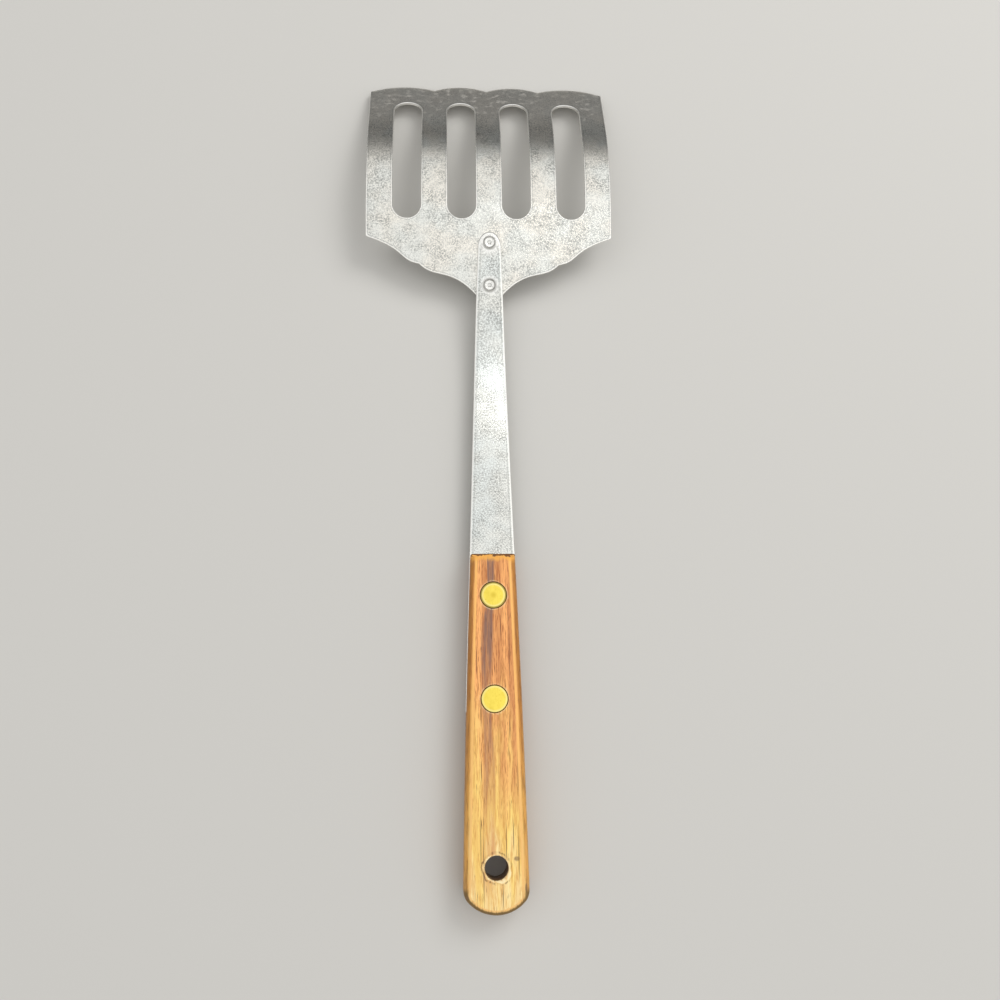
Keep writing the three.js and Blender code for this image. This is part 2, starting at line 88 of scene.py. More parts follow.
# Shoulders of the blade: each curve's slope at an end, and the share of its chord that holds to it
INNER_START, INNER_END = (math.radians(47), 0.61), (math.radians(45), 0.36)
OUTER_START, OUTER_END = (math.radians(9), 0.36), (math.radians(18), 0.72)

# Wear of the steel, with painted light: the lip's dull front, also darkened as a painted dark
# reflection, and the rings round the rivets' seats, with painted sheen and shade besides polish and
# grime, rear seat first
LIP_STARTS, LIP_FULL = 26 * MM, 12 * MM
SEAT_POLISH_AND_SHEEN, SEAT_DIRT_AND_SHADE = (4.2, 5.5), 2.75  # radii in millimetres
EDGE_RUN_OUT = 3 * MM  # where the bar's rounded edges run out, in front of the handle

# Chip in the hang hole's mouth, as a direction from the hole, its spread and its middle's distance
CHIP_ANGLE, CHIP_SPREAD = math.radians(-45), math.radians(24)
CHIP_DISTANCE = 3.96 * MM

# Stage
FLOOR_GAP = 0.1 * MM
SENSOR_WIDTH = 36  # millimetres

# Marks on the handle's top, in millimetres: checks as (across, along, half length)
WOOD_CHECKS = (
    (0.5, -40.7, 2), (2.1, -56, 5), (4.6, -63, 11), (-5.3, -66, 6), (-4.1, -80.5, 6), (4.4, -86, 5),
    (-2.1, -91, 3), (-4.2, -98, 4.5), (6.6, -99, 8), (5, -116, 6), (2.9, -118, 7), (-4.5, -118, 9),
    (6.5, -122, 9), (-3.7, -126, 14), (1.8, -133, 4.5),
)
# and stains as (across, along, half width, half length)
WOOD_STAINS = ((8.5, -130.5, 0.5, 1.7), (5.9, -122.5, 1.1, 0.9), (-8.6, -133, 0.7, 0.6))
CHECK_HALF_WIDTH = 0.18
MARK_DEPTH = 4


# Settings


def size(name, description, millimetres):
    return FloatProperty(
        name=name, description=description, default=millimetres * MM, unit="LENGTH", precision=5
    )


def place(name, description, millimetres):
    return FloatVectorProperty(
        name=name, description=description, default=[mm * MM for mm in millimetres],
        subtype="XYZ", unit="LENGTH", precision=5,
    )


def amount(name, description, value, unit="NONE"):
    return FloatProperty(name=name, description=description, default=value, unit=unit)


def linear(code):
    """An sRGB hex colour as linear red, green, blue and full alpha."""
    parts = [int(code[i : i + 2], 16) / 255 for i in (1, 3, 5)]
    return [p / 12.92 if p <= 0.04045 else ((p + 0.055) / 1.055) ** 2.4 for p in parts] + [1.0]


def colour(name, description, code):
    return FloatVectorProperty(
        name=name, description=description, default=linear(code), subtype="COLOR",
        size=4, min=0.0, max=1.0,
    )


class SPATULA_blade_sizes(bpy.types.PropertyGroup):
    thickness: size("Thickness", "Sheet thickness", 0.98)
    lap_gap: size("Lap gap", "Gap between the shank and the blade under it", 0.11)
    lap_flat: size("Lap flat", "Flat of the blade past the shank's tip", 7.2)
    crown_radius: size("Crown radius", "Radius of the blade's downward curve", 62)
    slot_count: IntProperty(name="Slots", description="Number of slots", default=4, min=1)
    slot_width: size("Slot width", "Width of a slot", 9.6)
    slot_length: size("Slot length", "Length of a slot, along the steel", 51.1)
    slot_from_neck: size("Slot start", "Neck to the slots' rear ends", 25.7)
    bar_width: size("Bar width", "Width of steel beside each slot", 8.7)
    front_notch: size("Front notch", "Neck to the notches between scallops", 84.6)
    scallop_rise: size("Scallop rise", "Height of a scallop of the front edge", 2.3)
    front_setback: size("Front corner setback", "Front corners behind the notches", 0.9)
    front_corner: size("Front corner radius", "Radius of the front corners", 0.9)
    rear_corner_from_neck: size("Rear corner", "Neck to the rear corners", 19.35)
    rear_corner: size("Rear corner radius", "Radius of the rear corners", 0.6)
    notch_from_neck: size("Shoulder notch", "Neck to the shoulders' notches", 10.3)
    notch_spread: size("Notch spread", "Across the two shoulder notches", 46.7)
    tongue_rise: size("Tongue", "Tongue of the blade under the shank, behind the neck", 2.4)
    edge: size("Edge rounding", "Tumbled rounding of every cut edge", 0.2)
    bevel_width: size("Front bevel width", "Width of the worn front edge", 1.5)
    bevel_drop: size("Front bevel drop", "Depth of the worn front edge", 0.34)
    outline_step: size("Outline step", "Spacing of points round the outline", 0.5)
    grid_step: size("Grid step", "Spacing of points over the sheet", 1.6)


class SPATULA_shank_sizes(bpy.types.PropertyGroup):
    thickness: size("Thickness", "Bar thickness", 2)
    exposed: size("Exposed length", "Handle's front to the neck, along the steel", 87.8)
    neck_width: size("Neck width", "Width at the neck", 8.8)
    tip_width: size("Tip width", "Width where the tip starts to round", 7.6)
    tip_round: size("Tip rounding", "Length of the rounded tip", 5)
    tang: size("Tang length", "Length of the half tang in the handle", 47.7)
    tang_proud: size("Tang proud", "Tang's edges out from the worn sides of the wood", 0.14)
    bend: size("Neck bend", "Length of the upward bend before the neck", 33.8)
    bend_angle: amount("Neck angle", "Rise of the neck", math.radians(11.17), "ROTATION")
    edge_inset: size("Edge inset", "Width of the rounded long edges", 0.7)
    edge_drop: size("Edge drop", "Depth of the rounded long edges", 0.35)
    tang_edge: size("Tang edge", "Rounding of the tang's edges", 0.15)
    step: size("Step", "Spacing of points", 1.0)


class SPATULA_handle_sizes(bpy.types.PropertyGroup):
    front_width: size("Front width", "Width at the front", 13.9)
    butt_width: size("Butt width", "Width at the butt's corners", 19.2)
    side_crown: size("Side crown", "Swell of each side", 0.25)
    butt_rise: size("Butt rise", "Height of the butt's arc", 5.2)
    butt_corner: size("Butt corner", "Easing of the butt's corners, in plan", 1.6)
    front_corner: size("Front corner", "Easing of the front corners, in plan", 0.6)
    side_round: size("Side rounding", "Rounding of the long edges", 2.5)
    butt_round: size("Butt rounding", "Rounding of the butt's edge", 1.7)
    front_round: size("Front rounding", "Rounding of the front edge", 0.7)
    hole: size("Hang hole", "Diameter of the hang hole", 6.8)
    hole_from_butt: size("Hang hole place", "Butt to the hang hole's centre", 13)
    hole_round: size("Hole mouth", "Worn mouth of the hang hole", 0.45)
    hole_chip: size("Hole chip", "Extra width of the mouth where it is chipped", 0.75)
    kerf_gap: size("Kerf clearance", "Clearance of the saw kerf round the tang", 0.1)
    step: size("Step", "Spacing of points", 0.9)


class SPATULA_rivet_sizes(bpy.types.PropertyGroup):
    from_neck: size("Rear blade rivet", "Neck to the rear blade rivet", 2.7)
    spacing: size("Blade rivet spacing", "Between the blade rivets", 14.3)
    to_tip: size("Tip", "Front blade rivet to the shank's tip", 3.6)
    head: size("Blade rivet head", "Diameter of the dished head", 4.24)
    head_height: size("Head height", "Height of the dished head", 0.5)
    rim: size("Head rim", "Width of the head's rim", 0.42)
    dish: size("Dish", "Depth of the head's dish", 0.3)
    dish_wall: size("Dish wall", "Width of the dish's sloping wall", 0.16)
    dimple: size("Dimple", "Diameter of the setting punch's dimple", 1.3)
    dimple_depth: size("Dimple depth", "Depth of the dimple", 0.14)
    head_round: size("Head rounding", "Rounding of the head's corners", 0.08)
    shaft: size("Blade rivet shaft", "Diameter of the shaft", 2.4)
    tail: size("Tail", "Diameter of the tail under the blade", 4)
    tail_height: size("Tail height", "Height of the tail", 0.55)
    brass_from_front: size("Front brass rivet", "Handle's front to the front brass rivet", 12.9)
    brass_from_tang_end: size("Rear brass rivet", "Rear brass rivet to the tang's end", 3.6)
    brass_head: size("Brass head", "Diameter of the brass heads", 8)
    brass_thickness: size("Brass head thickness", "Thickness of the brass heads", 1.5)
    brass_ring: size("Ring gap", "Gap round a brass head", 0.2)
    barrel: size("Socket barrel", "Diameter of the socket's barrel", 4.8)
    barrel_gap: size("Barrel end gap", "Between a barrel's end and the other head", 1.2)
    post: size("Post", "Diameter of the post", 3)
    post_chamfer: size("Post chamfer", "Chamfer of the post's tip", 0.3)
    seat: size("Seat gap", "Gap under a rivet's head", 0.05)
    clearance: size("Shaft clearance", "Clearance round a shaft", 0.2)
    rim_round: size("Rim rounding", "Rounding of the heads' rims", 0.16)


class SPATULA_finishes(bpy.types.PropertyGroup):
    steel_cool: colour("Cool steel", "Cool cast of the steel", "#ECF0EC")
    steel_warm: colour("Warm steel", "Warm cast of the steel", "#F6F2E8")
    steel_pit: colour("Steel pits", "Tumbling marks in the steel", "#8C8D89")
    # bright steel; along every edge it is also a painted highlight, and round the rivet seats a
    # painted sheen
    steel_edge: colour("Steel edges", "Edges burnished by tumbling", "#FAF9F4")
    # the lip's colour: wear, and a painted dark reflection
    steel_lip_wear_and_reflection: colour("Steel lip", "Front of the blade, dulled by use", "#C8C5BF")
    steel_scuff: colour("Steel scuffs", "Pale scuffs on the front of the blade", "#F2EEE6")
    # grime, and painted shade where the rivet heads meet the steel
    steel_dirt_and_shade: colour("Grime", "Grime round the rivets", "#6E6C66")
    brass: colour("Brass", "Brass rivet heads", "#FFE666")
    brass_dull: colour("Dull brass", "Tarnished brass", "#DCBF40")
    brass_pale: colour("Pale brass", "Band inside a head's rim, rubbed pale", "#FFF0A4")
    brass_rim: colour("Brass rim", "Dark tarnish at a head's rim", "#8C7A34")
    wood_front: colour("Front wood", "Light grain of the handle's front", "#FCB36A")
    wood_front_dark: colour("Front dark wood", "Dark grain of the handle's front", "#9C4E22")
    wood_rear: colour("Rear wood", "Light grain of the handle's rear", "#FFDE7C")
    wood_rear_dark: colour("Rear dark wood", "Dark grain of the handle's rear", "#D89A44")
    wood_butt: colour("Butt wood", "Light grain at the handle's butt", "#FFE4A0")
    wood_heart: colour("Front heartwood", "Purple-grey streak at the handle's front", "#866252")
    wood_heart_rear: colour("Rear heartwood", "Pinkish streak at the handle's rear", "#CB8650")
    # long edges: wear, and a painted sheen on their rounding
    wood_edge: colour("Worn front edges", "Long edges worn golden, at the front", "#FFC36C")
    edge_wear_and_sheen_rear: colour("Worn rear edges", "Long edges worn golden, at the rear", "#EFB96E")
    # sides: oil, and painted shade
    side_oil_and_shade: colour("Front sides", "Oiled sides, at the handle's front", "#B27424")
    side_oil_and_shade_rear: colour("Rear sides", "Oiled sides, at the handle's rear", "#D89A46")
    # the front edge's colour: wear, and a painted highlight on its rounding
    front_edge_wear_and_highlight: colour("Front edge", "Front edge worn golden", "#F4B04A")
    # the butt's rounded edge, painted in shade
    shaded_butt_edge: colour("Butt edge", "Butt's edge, brown with handling", "#5E4A1C")
    # pores and checks; also painted shade along the front joint and on the hang hole's bore
    dark_pore_and_shade: colour("Pores", "Open pores and checks", "#5A2E0C")
    wood_raw: colour("Raw wood", "Bare wood round the hang hole", "#FFEBB8")
    wood_stain: colour("Stains", "Small stains near the butt", "#7A5B3C")


class SPATULA_stage_settings(bpy.types.PropertyGroup):
    floor: colour("Floor", "Floor colour", "#C9C7C2")
    floor_size: amount("Floor size", "Side of the floor", 6, "LENGTH")
    overhead: amount("Overhead light", "Strength of the light from above", 0.96)
    overhead_right: amount("Light from the right", "Strength of the light above on the right", 1.2)
    horizon: amount("Horizon light", "Strength of the light at the horizon", 0.6)
    ahead: amount("Light ahead", "Strength of the light at the horizon ahead", 0.14)
    key_power: amount("Key lamp", "Power of the soft key lamp", 3.4, "POWER")
    key_size: size("Key lamp size", "Side of the soft key lamp", 500)
    key_place: place("Key lamp place", "Where the soft key lamp hangs", (500, 500, 750))
    accent_power: amount("Accent lamp", "Power of the accent lamp", 0.0115, "POWER")
    accent_length: size("Accent lamp length", "Length of the lamp that the steel mirrors", 90)
    accent_width: size("Accent lamp width", "Width of the lamp that the steel mirrors", 10)
    accent_place: place("Accent lamp place", "Where the accent lamp hangs", (57, 150, 430))
    camera_place: place("Camera place", "Where the camera stands", (-13.852, -87.876, 315.299))
    camera_turn: FloatVectorProperty(
        name="Camera turn", description="How the camera is turned",
        default=[math.radians(a) for a in (13.28, -2.98, -0.09)], subtype="EULER",
    )
    lens: amount("Lens", "Focal length, in millimetres", 36)


class SPATULA_settings(bpy.types.PropertyGroup):
    blade: PointerProperty(type=SPATULA_blade_sizes)
    shank: PointerProperty(type=SPATULA_shank_sizes)
    handle: PointerProperty(type=SPATULA_handle_sizes)
    rivets: PointerProperty(type=SPATULA_rivet_sizes)
    finishes: PointerProperty(type=SPATULA_finishes)
    stage: PointerProperty(type=SPATULA_stage_settings)


# Outlines: each function gives points from its start up to, and without, its end


def steps_for(length, step):
    return max(1, math.ceil(length / step))


def line(start, end, step):
    count = steps_for(math.dist(start, end), step)
    share = np.linspace(0, 1, count, endpoint=False)[:, None]
    return np.array(start) * (1 - share) + np.array(end) * share


def arc(centre, radius, start, end, step):
    angles = np.linspace(start, end, steps_for(abs(end - start) * radius, step), endpoint=False)
    return np.array(centre) + radius * np.stack([np.cos(angles), np.sin(angles)], 1)


def circle(centre, radius, step):
    """A hole's edge, run clockwise so that the material is on its left."""
    return arc(centre, radius, 2 * math.pi, 0, step)


def bulge(start, end, rise, step):
    """An arc that bulges by the given rise to the right of its direction of travel."""
    chord = np.subtract(end, start)
    radius = (chord @ chord / 4 + rise * rise) / (2 * rise)
    towards_centre = np.array([-chord[1], chord[0]]) / math.hypot(*chord)
    centre = np.add(start, end) / 2 + towards_centre * (radius - rise)
    angles = [math.atan2(p[1] - centre[1], p[0] - centre[0]) for p in (start, end)]
    return arc(centre, radius, *angles, step)


def bezier(points, step):
    """A curve on three or four control points."""
    controls = np.array(points, float)
    share = np.linspace(0, 1, steps_for(math.dist(points[0], points[-1]), step), endpoint=False)
    degree = len(points) - 1
    weights = [
        math.comb(degree, i) * share**i * (1 - share) ** (degree - i) for i in range(degree + 1)
    ]
    return np.stack(weights, 1) @ controls


def held_curve(start, end, start_hold, end_hold, step):
    """An S-curve that holds to a slope at each end, for a share of its chord."""
    chord = math.dist(start, end)
    first, last = [
        share * chord * np.array([math.cos(slope), math.sin(slope)])
        for slope, share in (start_hold, end_hold)
    ]
    return bezier([start, start + first, end - last, end], step)


def mirrored(right, joining):
    """Closes a right-hand outline with its mirror image, after the points that join the two."""
    off_centre = right[right[:, 0] > WELD]
    return np.concatenate([right, joining, off_centre[::-1] * [-1, 1]])


def eased(points, radii):
    """The same line of points with its corners eased over the given distances, one for each."""
    made = []
    for i, (corner, radius) in enumerate(zip(points, radii)):
        if radius == 0:
            made.append(corner)
            continue
        before, after = points[i - 1] - corner, points[(i + 1) % len(points)] - corner
        reach = [min(radius, CORNER_REACH * np.linalg.norm(way)) for way in (before, after)]
        ends = [corner + way / np.linalg.norm(way) * r for way, r in zip((before, after), reach)]
        for share in np.linspace(0, 1, CORNER_STEPS):
            made.append(
                ends[0] * (1 - share) ** 2 + corner * 2 * share * (1 - share) + ends[1] * share**2
            )
    return np.array(made)


def between(start, end, share):
    """Values that go from one to the other as a share goes from 0 to 1."""
    return start + (end - start) * share


# Plates: flat pieces with rounded edges and holes, made as (x, y, height) and bent afterwards


class Edge:
    """A closed edge of a plate with the material on its left, rounded by an inset and a drop."""

    def __init__(self, points, inset, drop):
        self.points = points
        self.inset = np.broadcast_to(inset, len(points)).astype(float)
        self.drop = np.broadcast_to(drop, len(points)).astype(float)
        way = np.roll(points, -1, 0) - points
        way = way / np.linalg.norm(way, axis=1)[:, None]
        after = np.stack([-way[:, 1], way[:, 0]], 1)
        before = np.roll(after, 1, 0)
        bisector = (after + before) / (1 + np.sum(after * before, 1))[:, None]
        self.outward = -bisector / np.linalg.norm(bisector, axis=1)[:, None]
        self.inward = bisector * self.inset[:, None]

    def rings(self, low, high):
        """Points and normals down the edge, from its top ring to its bottom ring."""
        rows = []
        for side, level in ((1, high), (-1, low)):
            angles = np.linspace(0, math.pi / 2, EDGE_STEPS + 1)
            for angle in angles if side > 0 else angles[::-1]:
                flat = self.points + self.inward * (1 - math.sin(angle))
                height = level - side * self.drop * (1 - math.cos(angle))
                out = math.sin(angle) / self.inset
                up = side * math.cos(angle) / self.drop
                normal = np.column_stack([self.outward * out[:, None], up])
                rows.append((
                    np.column_stack([flat, height]),
                    normal / np.linalg.norm(normal, axis=1)[:, None],
                    self.inset * (1 - math.sin(angle)),
                ))
        return rows


def inside(points, loops):
    """Which points lie within the loops, by counting the edges that a ray to the right crosses."""
    starts = np.concatenate(loops)
    ends = np.concatenate([np.roll(loop, -1, 0) for loop in loops])
    found = []
    for first in range(0, len(points), INSIDE_BATCH):
        x, y = points[first : first + INSIDE_BATCH].T[:, :, None]
        spans = (starts[:, 1] > y) != (ends[:, 1] > y)
        rise = np.where(ends[:, 1] == starts[:, 1], 1.0, ends[:, 1] - starts[:, 1])
        meets = starts[:, 0] + (y - starts[:, 1]) * (ends[:, 0] - starts[:, 0]) / rise
        found.append(np.sum(spans & (x < meets), 1) % 2 == 1)
    return np.concatenate(found)


def nearest(points, loops):
    """Each point's distance to the nearest point of the loops."""
    tree = kdtree.KDTree(sum(map(len, loops)))
    for i, (x, y) in enumerate(np.concatenate(loops)):
        tree.insert((x, y, 0), i)
    tree.balance()
    return np.array([tree.find((x, y, 0))[2] for x, y in points])


def grid_within(loops, step):
    """Points spread evenly between the loops, in staggered rows, clear of them."""
    low, high = loops[0].min(0), loops[0].max(0)
    rows = []
    for i, y in enumerate(np.arange(low[1] + step / 2, high[1], step)):
        x = np.arange(low[0] + (step if i % 2 else step / 2), high[0], step)
        rows.append(np.column_stack([x, np.full(len(x), y)]))
    grid = np.concatenate(rows)
    grid = grid[inside(grid, loops)]
    return grid[nearest(grid, loops) > GRID_CLEARANCE * step]


def triangles_between(loops, grid):
    """The triangles that fill a face between its loops and its grid of points."""
    flat = np.concatenate([*loops, grid])
    joins = []
    first = 0
    for loop in loops:
        joins += [(first + i, first + (i + 1) % len(loop)) for i in range(len(loop))]
        first += len(loop)
    points, _, faces, origins, _, _ = delaunay_2d_cdt(
        [Vector(p) for p in flat], joins, [], 0, WELD, True
    )
    if any(not origin for origin in origins):
        raise RuntimeError("the outline crosses itself")
    faces = np.array(faces)
    centres = np.array(points)[faces].mean(1)
    source = np.array([origin[0] for origin in origins])
    return source[faces[inside(centres, loops)]]


class Plate:
    """The points, normals and faces of a flat plate, and each point's distance from an edge."""

    def __init__(self, edges, low, high, step):
        self.points, self.normals, self.from_edge, self.faces = [], [], [], []
        tops, bottoms, loops = [], [], []
        for edge in edges:
            rings = [self.add(*row) for row in edge.rings(low, high)]
            for upper, lower in zip(rings, rings[1:]):
                upper_next, lower_next = np.roll(upper, -1), np.roll(lower, -1)
                self.faces += np.stack([upper, lower, lower_next, upper_next], 1).tolist()
            tops.append(rings[0])
            bottoms.append(rings[-1])
            loops.append(edge.points + edge.inward)
        grid = grid_within(loops, step)
        distance = nearest(grid, [edge.points for edge in edges])
        for side, level, rims in ((1, high, tops), (-1, low, bottoms)):
            ups = np.tile([0.0, 0.0, side], (len(grid), 1))
            middle = self.add(np.column_stack([grid, np.full(len(grid), level)]), ups, distance)
            rims.append(middle)
        triangles = triangles_between(loops, grid)
        self.faces += np.concatenate(tops)[triangles].tolist()
        self.faces += np.concatenate(bottoms)[triangles[:, ::-1]].tolist()
        self.points = np.concatenate(self.points)
        self.normals = np.concatenate(self.normals)
        self.from_edge = np.concatenate(self.from_edge)

    def add(self, points, normals, from_edge):
        first = sum(map(len, self.points))
        self.points.append(points)
        self.normals.append(normals)
        self.from_edge.append(from_edge)
        return np.arange(first, first + len(points))


# Bending


class SideProfile:
    """The bent steel seen from the side, as runs that each turn by an angle along their length."""

    def __init__(self, height, runs):
        self.starts = []
        distance, y, z, angle = 0.0, 0.0, height, 0.0
        for length, turned in runs:
            self.starts.append((distance, y, z, angle, turned / length))
            if turned:
                radius = length / turned
                y += radius * (math.sin(angle + turned) - math.sin(angle))
                z += radius * (math.cos(angle) - math.cos(angle + turned))
            else:
                y += length * math.cos(angle)
                z += length * math.sin(angle)
            distance += length
            angle += turned

    def place(self, distance, offset):
        """Y, Z and slope of points a distance along the steel and an offset above its middle."""
        distance = np.asarray(distance, float)
        starts = np.array(self.starts)
        run = np.clip(np.searchsorted(starts[:, 0], distance, "right") - 1, 0, None)
        from_start = distance - starts[run, 0]
        _, y, z, angle, curve = starts[run].T
        slope = angle + curve * from_start
        radius = 1 / np.where(curve == 0, 1.0, curve)
        straight = curve == 0
        turned_along = radius * (np.sin(slope) - np.sin(angle))
        turned_up = radius * (np.cos(angle) - np.cos(slope))
        along = np.where(straight, from_start * np.cos(angle), turned_along)
        up = np.where(straight, from_start * np.sin(angle), turned_up)
        return y + along - offset * np.sin(slope), z + up + offset * np.cos(slope), slope


def blade_offsets(settings):
    """The blade's underside and top, as offsets from the shank's middle layer."""
    top = -settings.shank.thickness / 2 - settings.blade.lap_gap
    return top - settings.blade.thickness, top


def tip_from_neck(settings):
    return settings.rivets.from_neck + settings.rivets.spacing + settings.rivets.to_tip


def profile_with_lip(settings, lip):
    shank, blade = settings.shank, settings.blade
    down = shank.bend_angle + lip
    return SideProfile(HANDLE_TOP / 2, [
        (shank.exposed - shank.bend, 0),
        (shank.bend, shank.bend_angle),
        (tip_from_neck(settings) + blade.lap_flat, 0),
        (blade.crown_radius * down, -down),
        (1.0, 0),
    ])


def steel_profile(settings):
    """The profile whose lip slopes down until the front edge rests on the floor."""
    crest = settings.shank.exposed + settings.blade.front_notch + settings.blade.scallop_rise
    underside, _ = blade_offsets(settings)
    low, high = 0.0, math.pi / 2
    for _ in range(SOLVER_STEPS):
        middle = (low + high) / 2
        if profile_with_lip(settings, middle).place(crest, underside)[1] > 0:
            low = middle
        else:
            high = middle
    return profile_with_lip(settings, low)


def bent(plate, profile):
    """A plate's points and normals with its Y run along the bent steel."""
    x, distance, offset = plate.points.T
    y, z, slope = profile.place(distance, offset)
    across, along, up = plate.normals.T
    normals = np.column_stack([
        across,
        along * np.cos(slope) - up * np.sin(slope),
        along * np.sin(slope) + up * np.cos(slope),
    ])
    return np.column_stack([x, y + HANDLE_FRONT, z]), normals


# Meshes and pieces


def new_mesh(name, points, faces):
    mesh = bpy.data.meshes.new(name)
    mesh.from_pydata(np.asarray(points).tolist(), [], [list(face) for face in faces])
    mesh.polygons.foreach_set("use_smooth", [True] * len(mesh.polygons))
    if mesh.validate():
        raise RuntimeError(f"{name} has faces that are not valid")
    return mesh


def new_object(name, mesh):
    made = bpy.data.objects.new(name, mesh)
    bpy.context.scene.collection.objects.link(made)
    return made


def plate_mesh(name, plate, profile):
    points, normals = bent(plate, profile)
    mesh = new_mesh(name, points, plate.faces)
    mesh.attributes.new("from_edge", "FLOAT", "POINT").data.foreach_set("value", plate.from_edge)
    mesh.normals_split_custom_set_from_vertices(normals.tolist())
    return mesh


def lathe(name, profile, rounding=0.0):
    """Turns (radius, height) pairs about Z, bottom to top and axis to axis, corners rounded."""
    profile = eased(np.array(profile), [0, *[rounding] * (len(profile) - 2), 0])
    angles = np.linspace(0, 2 * math.pi, LATHE_SEGMENTS, endpoint=False)
    around = np.stack([np.cos(angles), np.sin(angles)], 1)
    points = [[0.0, 0.0, profile[0][1]]]
    for radius, height in profile[1:-1]:
        points += np.column_stack([around * radius, np.full(len(angles), height)]).tolist()
    points.append([0.0, 0.0, profile[-1][1]])
    ring = np.arange(LATHE_SEGMENTS)
    after = np.roll(ring, -1)
    last = len(points) - 1
    top = last - LATHE_SEGMENTS
    faces = [(0, 1 + b, 1 + a) for a, b in zip(ring, after)]
    for lower in range(1, top, LATHE_SEGMENTS):
        upper = lower + LATHE_SEGMENTS
        faces += [(lower + a, lower + b, upper + b, upper + a) for a, b in zip(ring, after)]
    faces += [(top + a, top + b, last) for a, b in zip(ring, after)]
    mesh = new_mesh(name, points, faces)
    mesh.set_sharp_from_angle(angle=SHARP_ANGLE)
    from_axis = np.linalg.norm(np.array(points)[:, :2], axis=1)
    mesh.attributes.new("from_axis", "FLOAT", "POINT").data.foreach_set("value", from_axis)
    return mesh


def settled(made):
    """Replaces an object's mesh with what its modifiers make of it, and removes them."""
    evaluated = made.evaluated_get(bpy.context.evaluated_depsgraph_get())
    mesh = bpy.data.meshes.new_from_object(evaluated)
    mesh.name = made.name
    made.modifiers.clear()
    made.data = mesh


def dress(made, material, slot, *nodes):
    """Gives a finished piece its material and ties it to the CAD nodes that it stands for."""
    made.data.materials.clear()
    made.data.materials.append(material)
    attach(made, BODY)
    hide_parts(*nodes)


# Nodes: each kind is a node's type with its settings

COORDINATES = ("ShaderNodeTexCoord", {})
ATTRIBUTE = "ShaderNodeAttribute"
PARTS = ("ShaderNodeSeparateXYZ", {})
JOINED = ("ShaderNodeCombineXYZ", {})
FITTED = ("ShaderNodeMapping", {"vector_type": "TEXTURE"})
NOISE = ("ShaderNodeTexNoise", {})
STEP = ("ShaderNodeMapRange", {"interpolation_type": "SMOOTHSTEP"})
MIX = ("ShaderNodeMix", {"data_type": "RGBA"})
BUMP = ("ShaderNodeBump", {"invert": True})
TIMES = ("ShaderNodeMath", {"operation": "MULTIPLY"})
PLUS = ("ShaderNodeMath", {"operation": "ADD"})
TIMES_PLUS = ("ShaderNodeMath", {"operation": "MULTIPLY_ADD"})
SIZE_OF = ("ShaderNodeMath", {"operation": "ABSOLUTE"})
GREATER = ("ShaderNodeMath", {"operation": "MAXIMUM"})
LENGTH = ("ShaderNodeVectorMath", {"operation": "LENGTH"})
SURFACE = ("ShaderNodeBsdfPrincipled", {})
RESULT = ("ShaderNodeOutputMaterial", {})


def adder(tree):
    """The function that adds a node to a tree."""

    def add(kind, *values, **named):
        """Adds a node and sets or links its inputs, in order or by name.

        A node that is given as a value stands for its first output.
        """
        idname, settings = kind
        made = tree.nodes.new(idname)
        for name, value in settings.items():
            setattr(made, name, value)
        inputs = [socket for socket in made.inputs if socket.enabled]
        by_name = {socket.name.lower().replace(" ", "_"): socket for socket in inputs}
        given = [*zip(inputs, values), *((by_name[name], value) for name, value in named.items())]
        for socket, value in given:
            if isinstance(value, bpy.types.Node):
                value = next(output for output in value.outputs if output.enabled)
            if isinstance(value, bpy.types.NodeSocket):
                tree.links.new(value, socket)
            else:
                socket.default_value = value
        return made

    return add


def start_material(name):
    material = bpy.data.materials.new(name)
    material.use_nodes = True
    material.node_tree.nodes.clear()
    return material, adder(material.node_tree)


def in_metres(millimetres):
    """A size that is the same all ways, or is given across, along and up, as a list in metres."""
    return [side * MM for side in np.broadcast_to(millimetres, 3).tolist()]


def patches(add, place, millimetres, detail, levels, values=(0.0, 1.0), rough=0.5):
    """A random mask of patches of a size, which changes its value between two levels of noise."""
    noise = add(NOISE, add(FITTED, place, scale=in_metres(millimetres)), 1.0, detail, rough)
    return add(STEP, noise, *levels, *values)


def spot(add, place, centre, millimetres):
    """A soft round or long mark at a place on a piece, of a radius or of three."""
    reach = add(LENGTH, add(FITTED, place, centre, scale=in_metres(millimetres)))
    return add(STEP, reach, 1.0, 0.4)


def band(add, value, rise, fall):
    """A mask that rises between two levels of a value and falls between two others."""
    return add(TIMES, add(STEP, value, *rise), add(STEP, value, *fall))


# Finishes


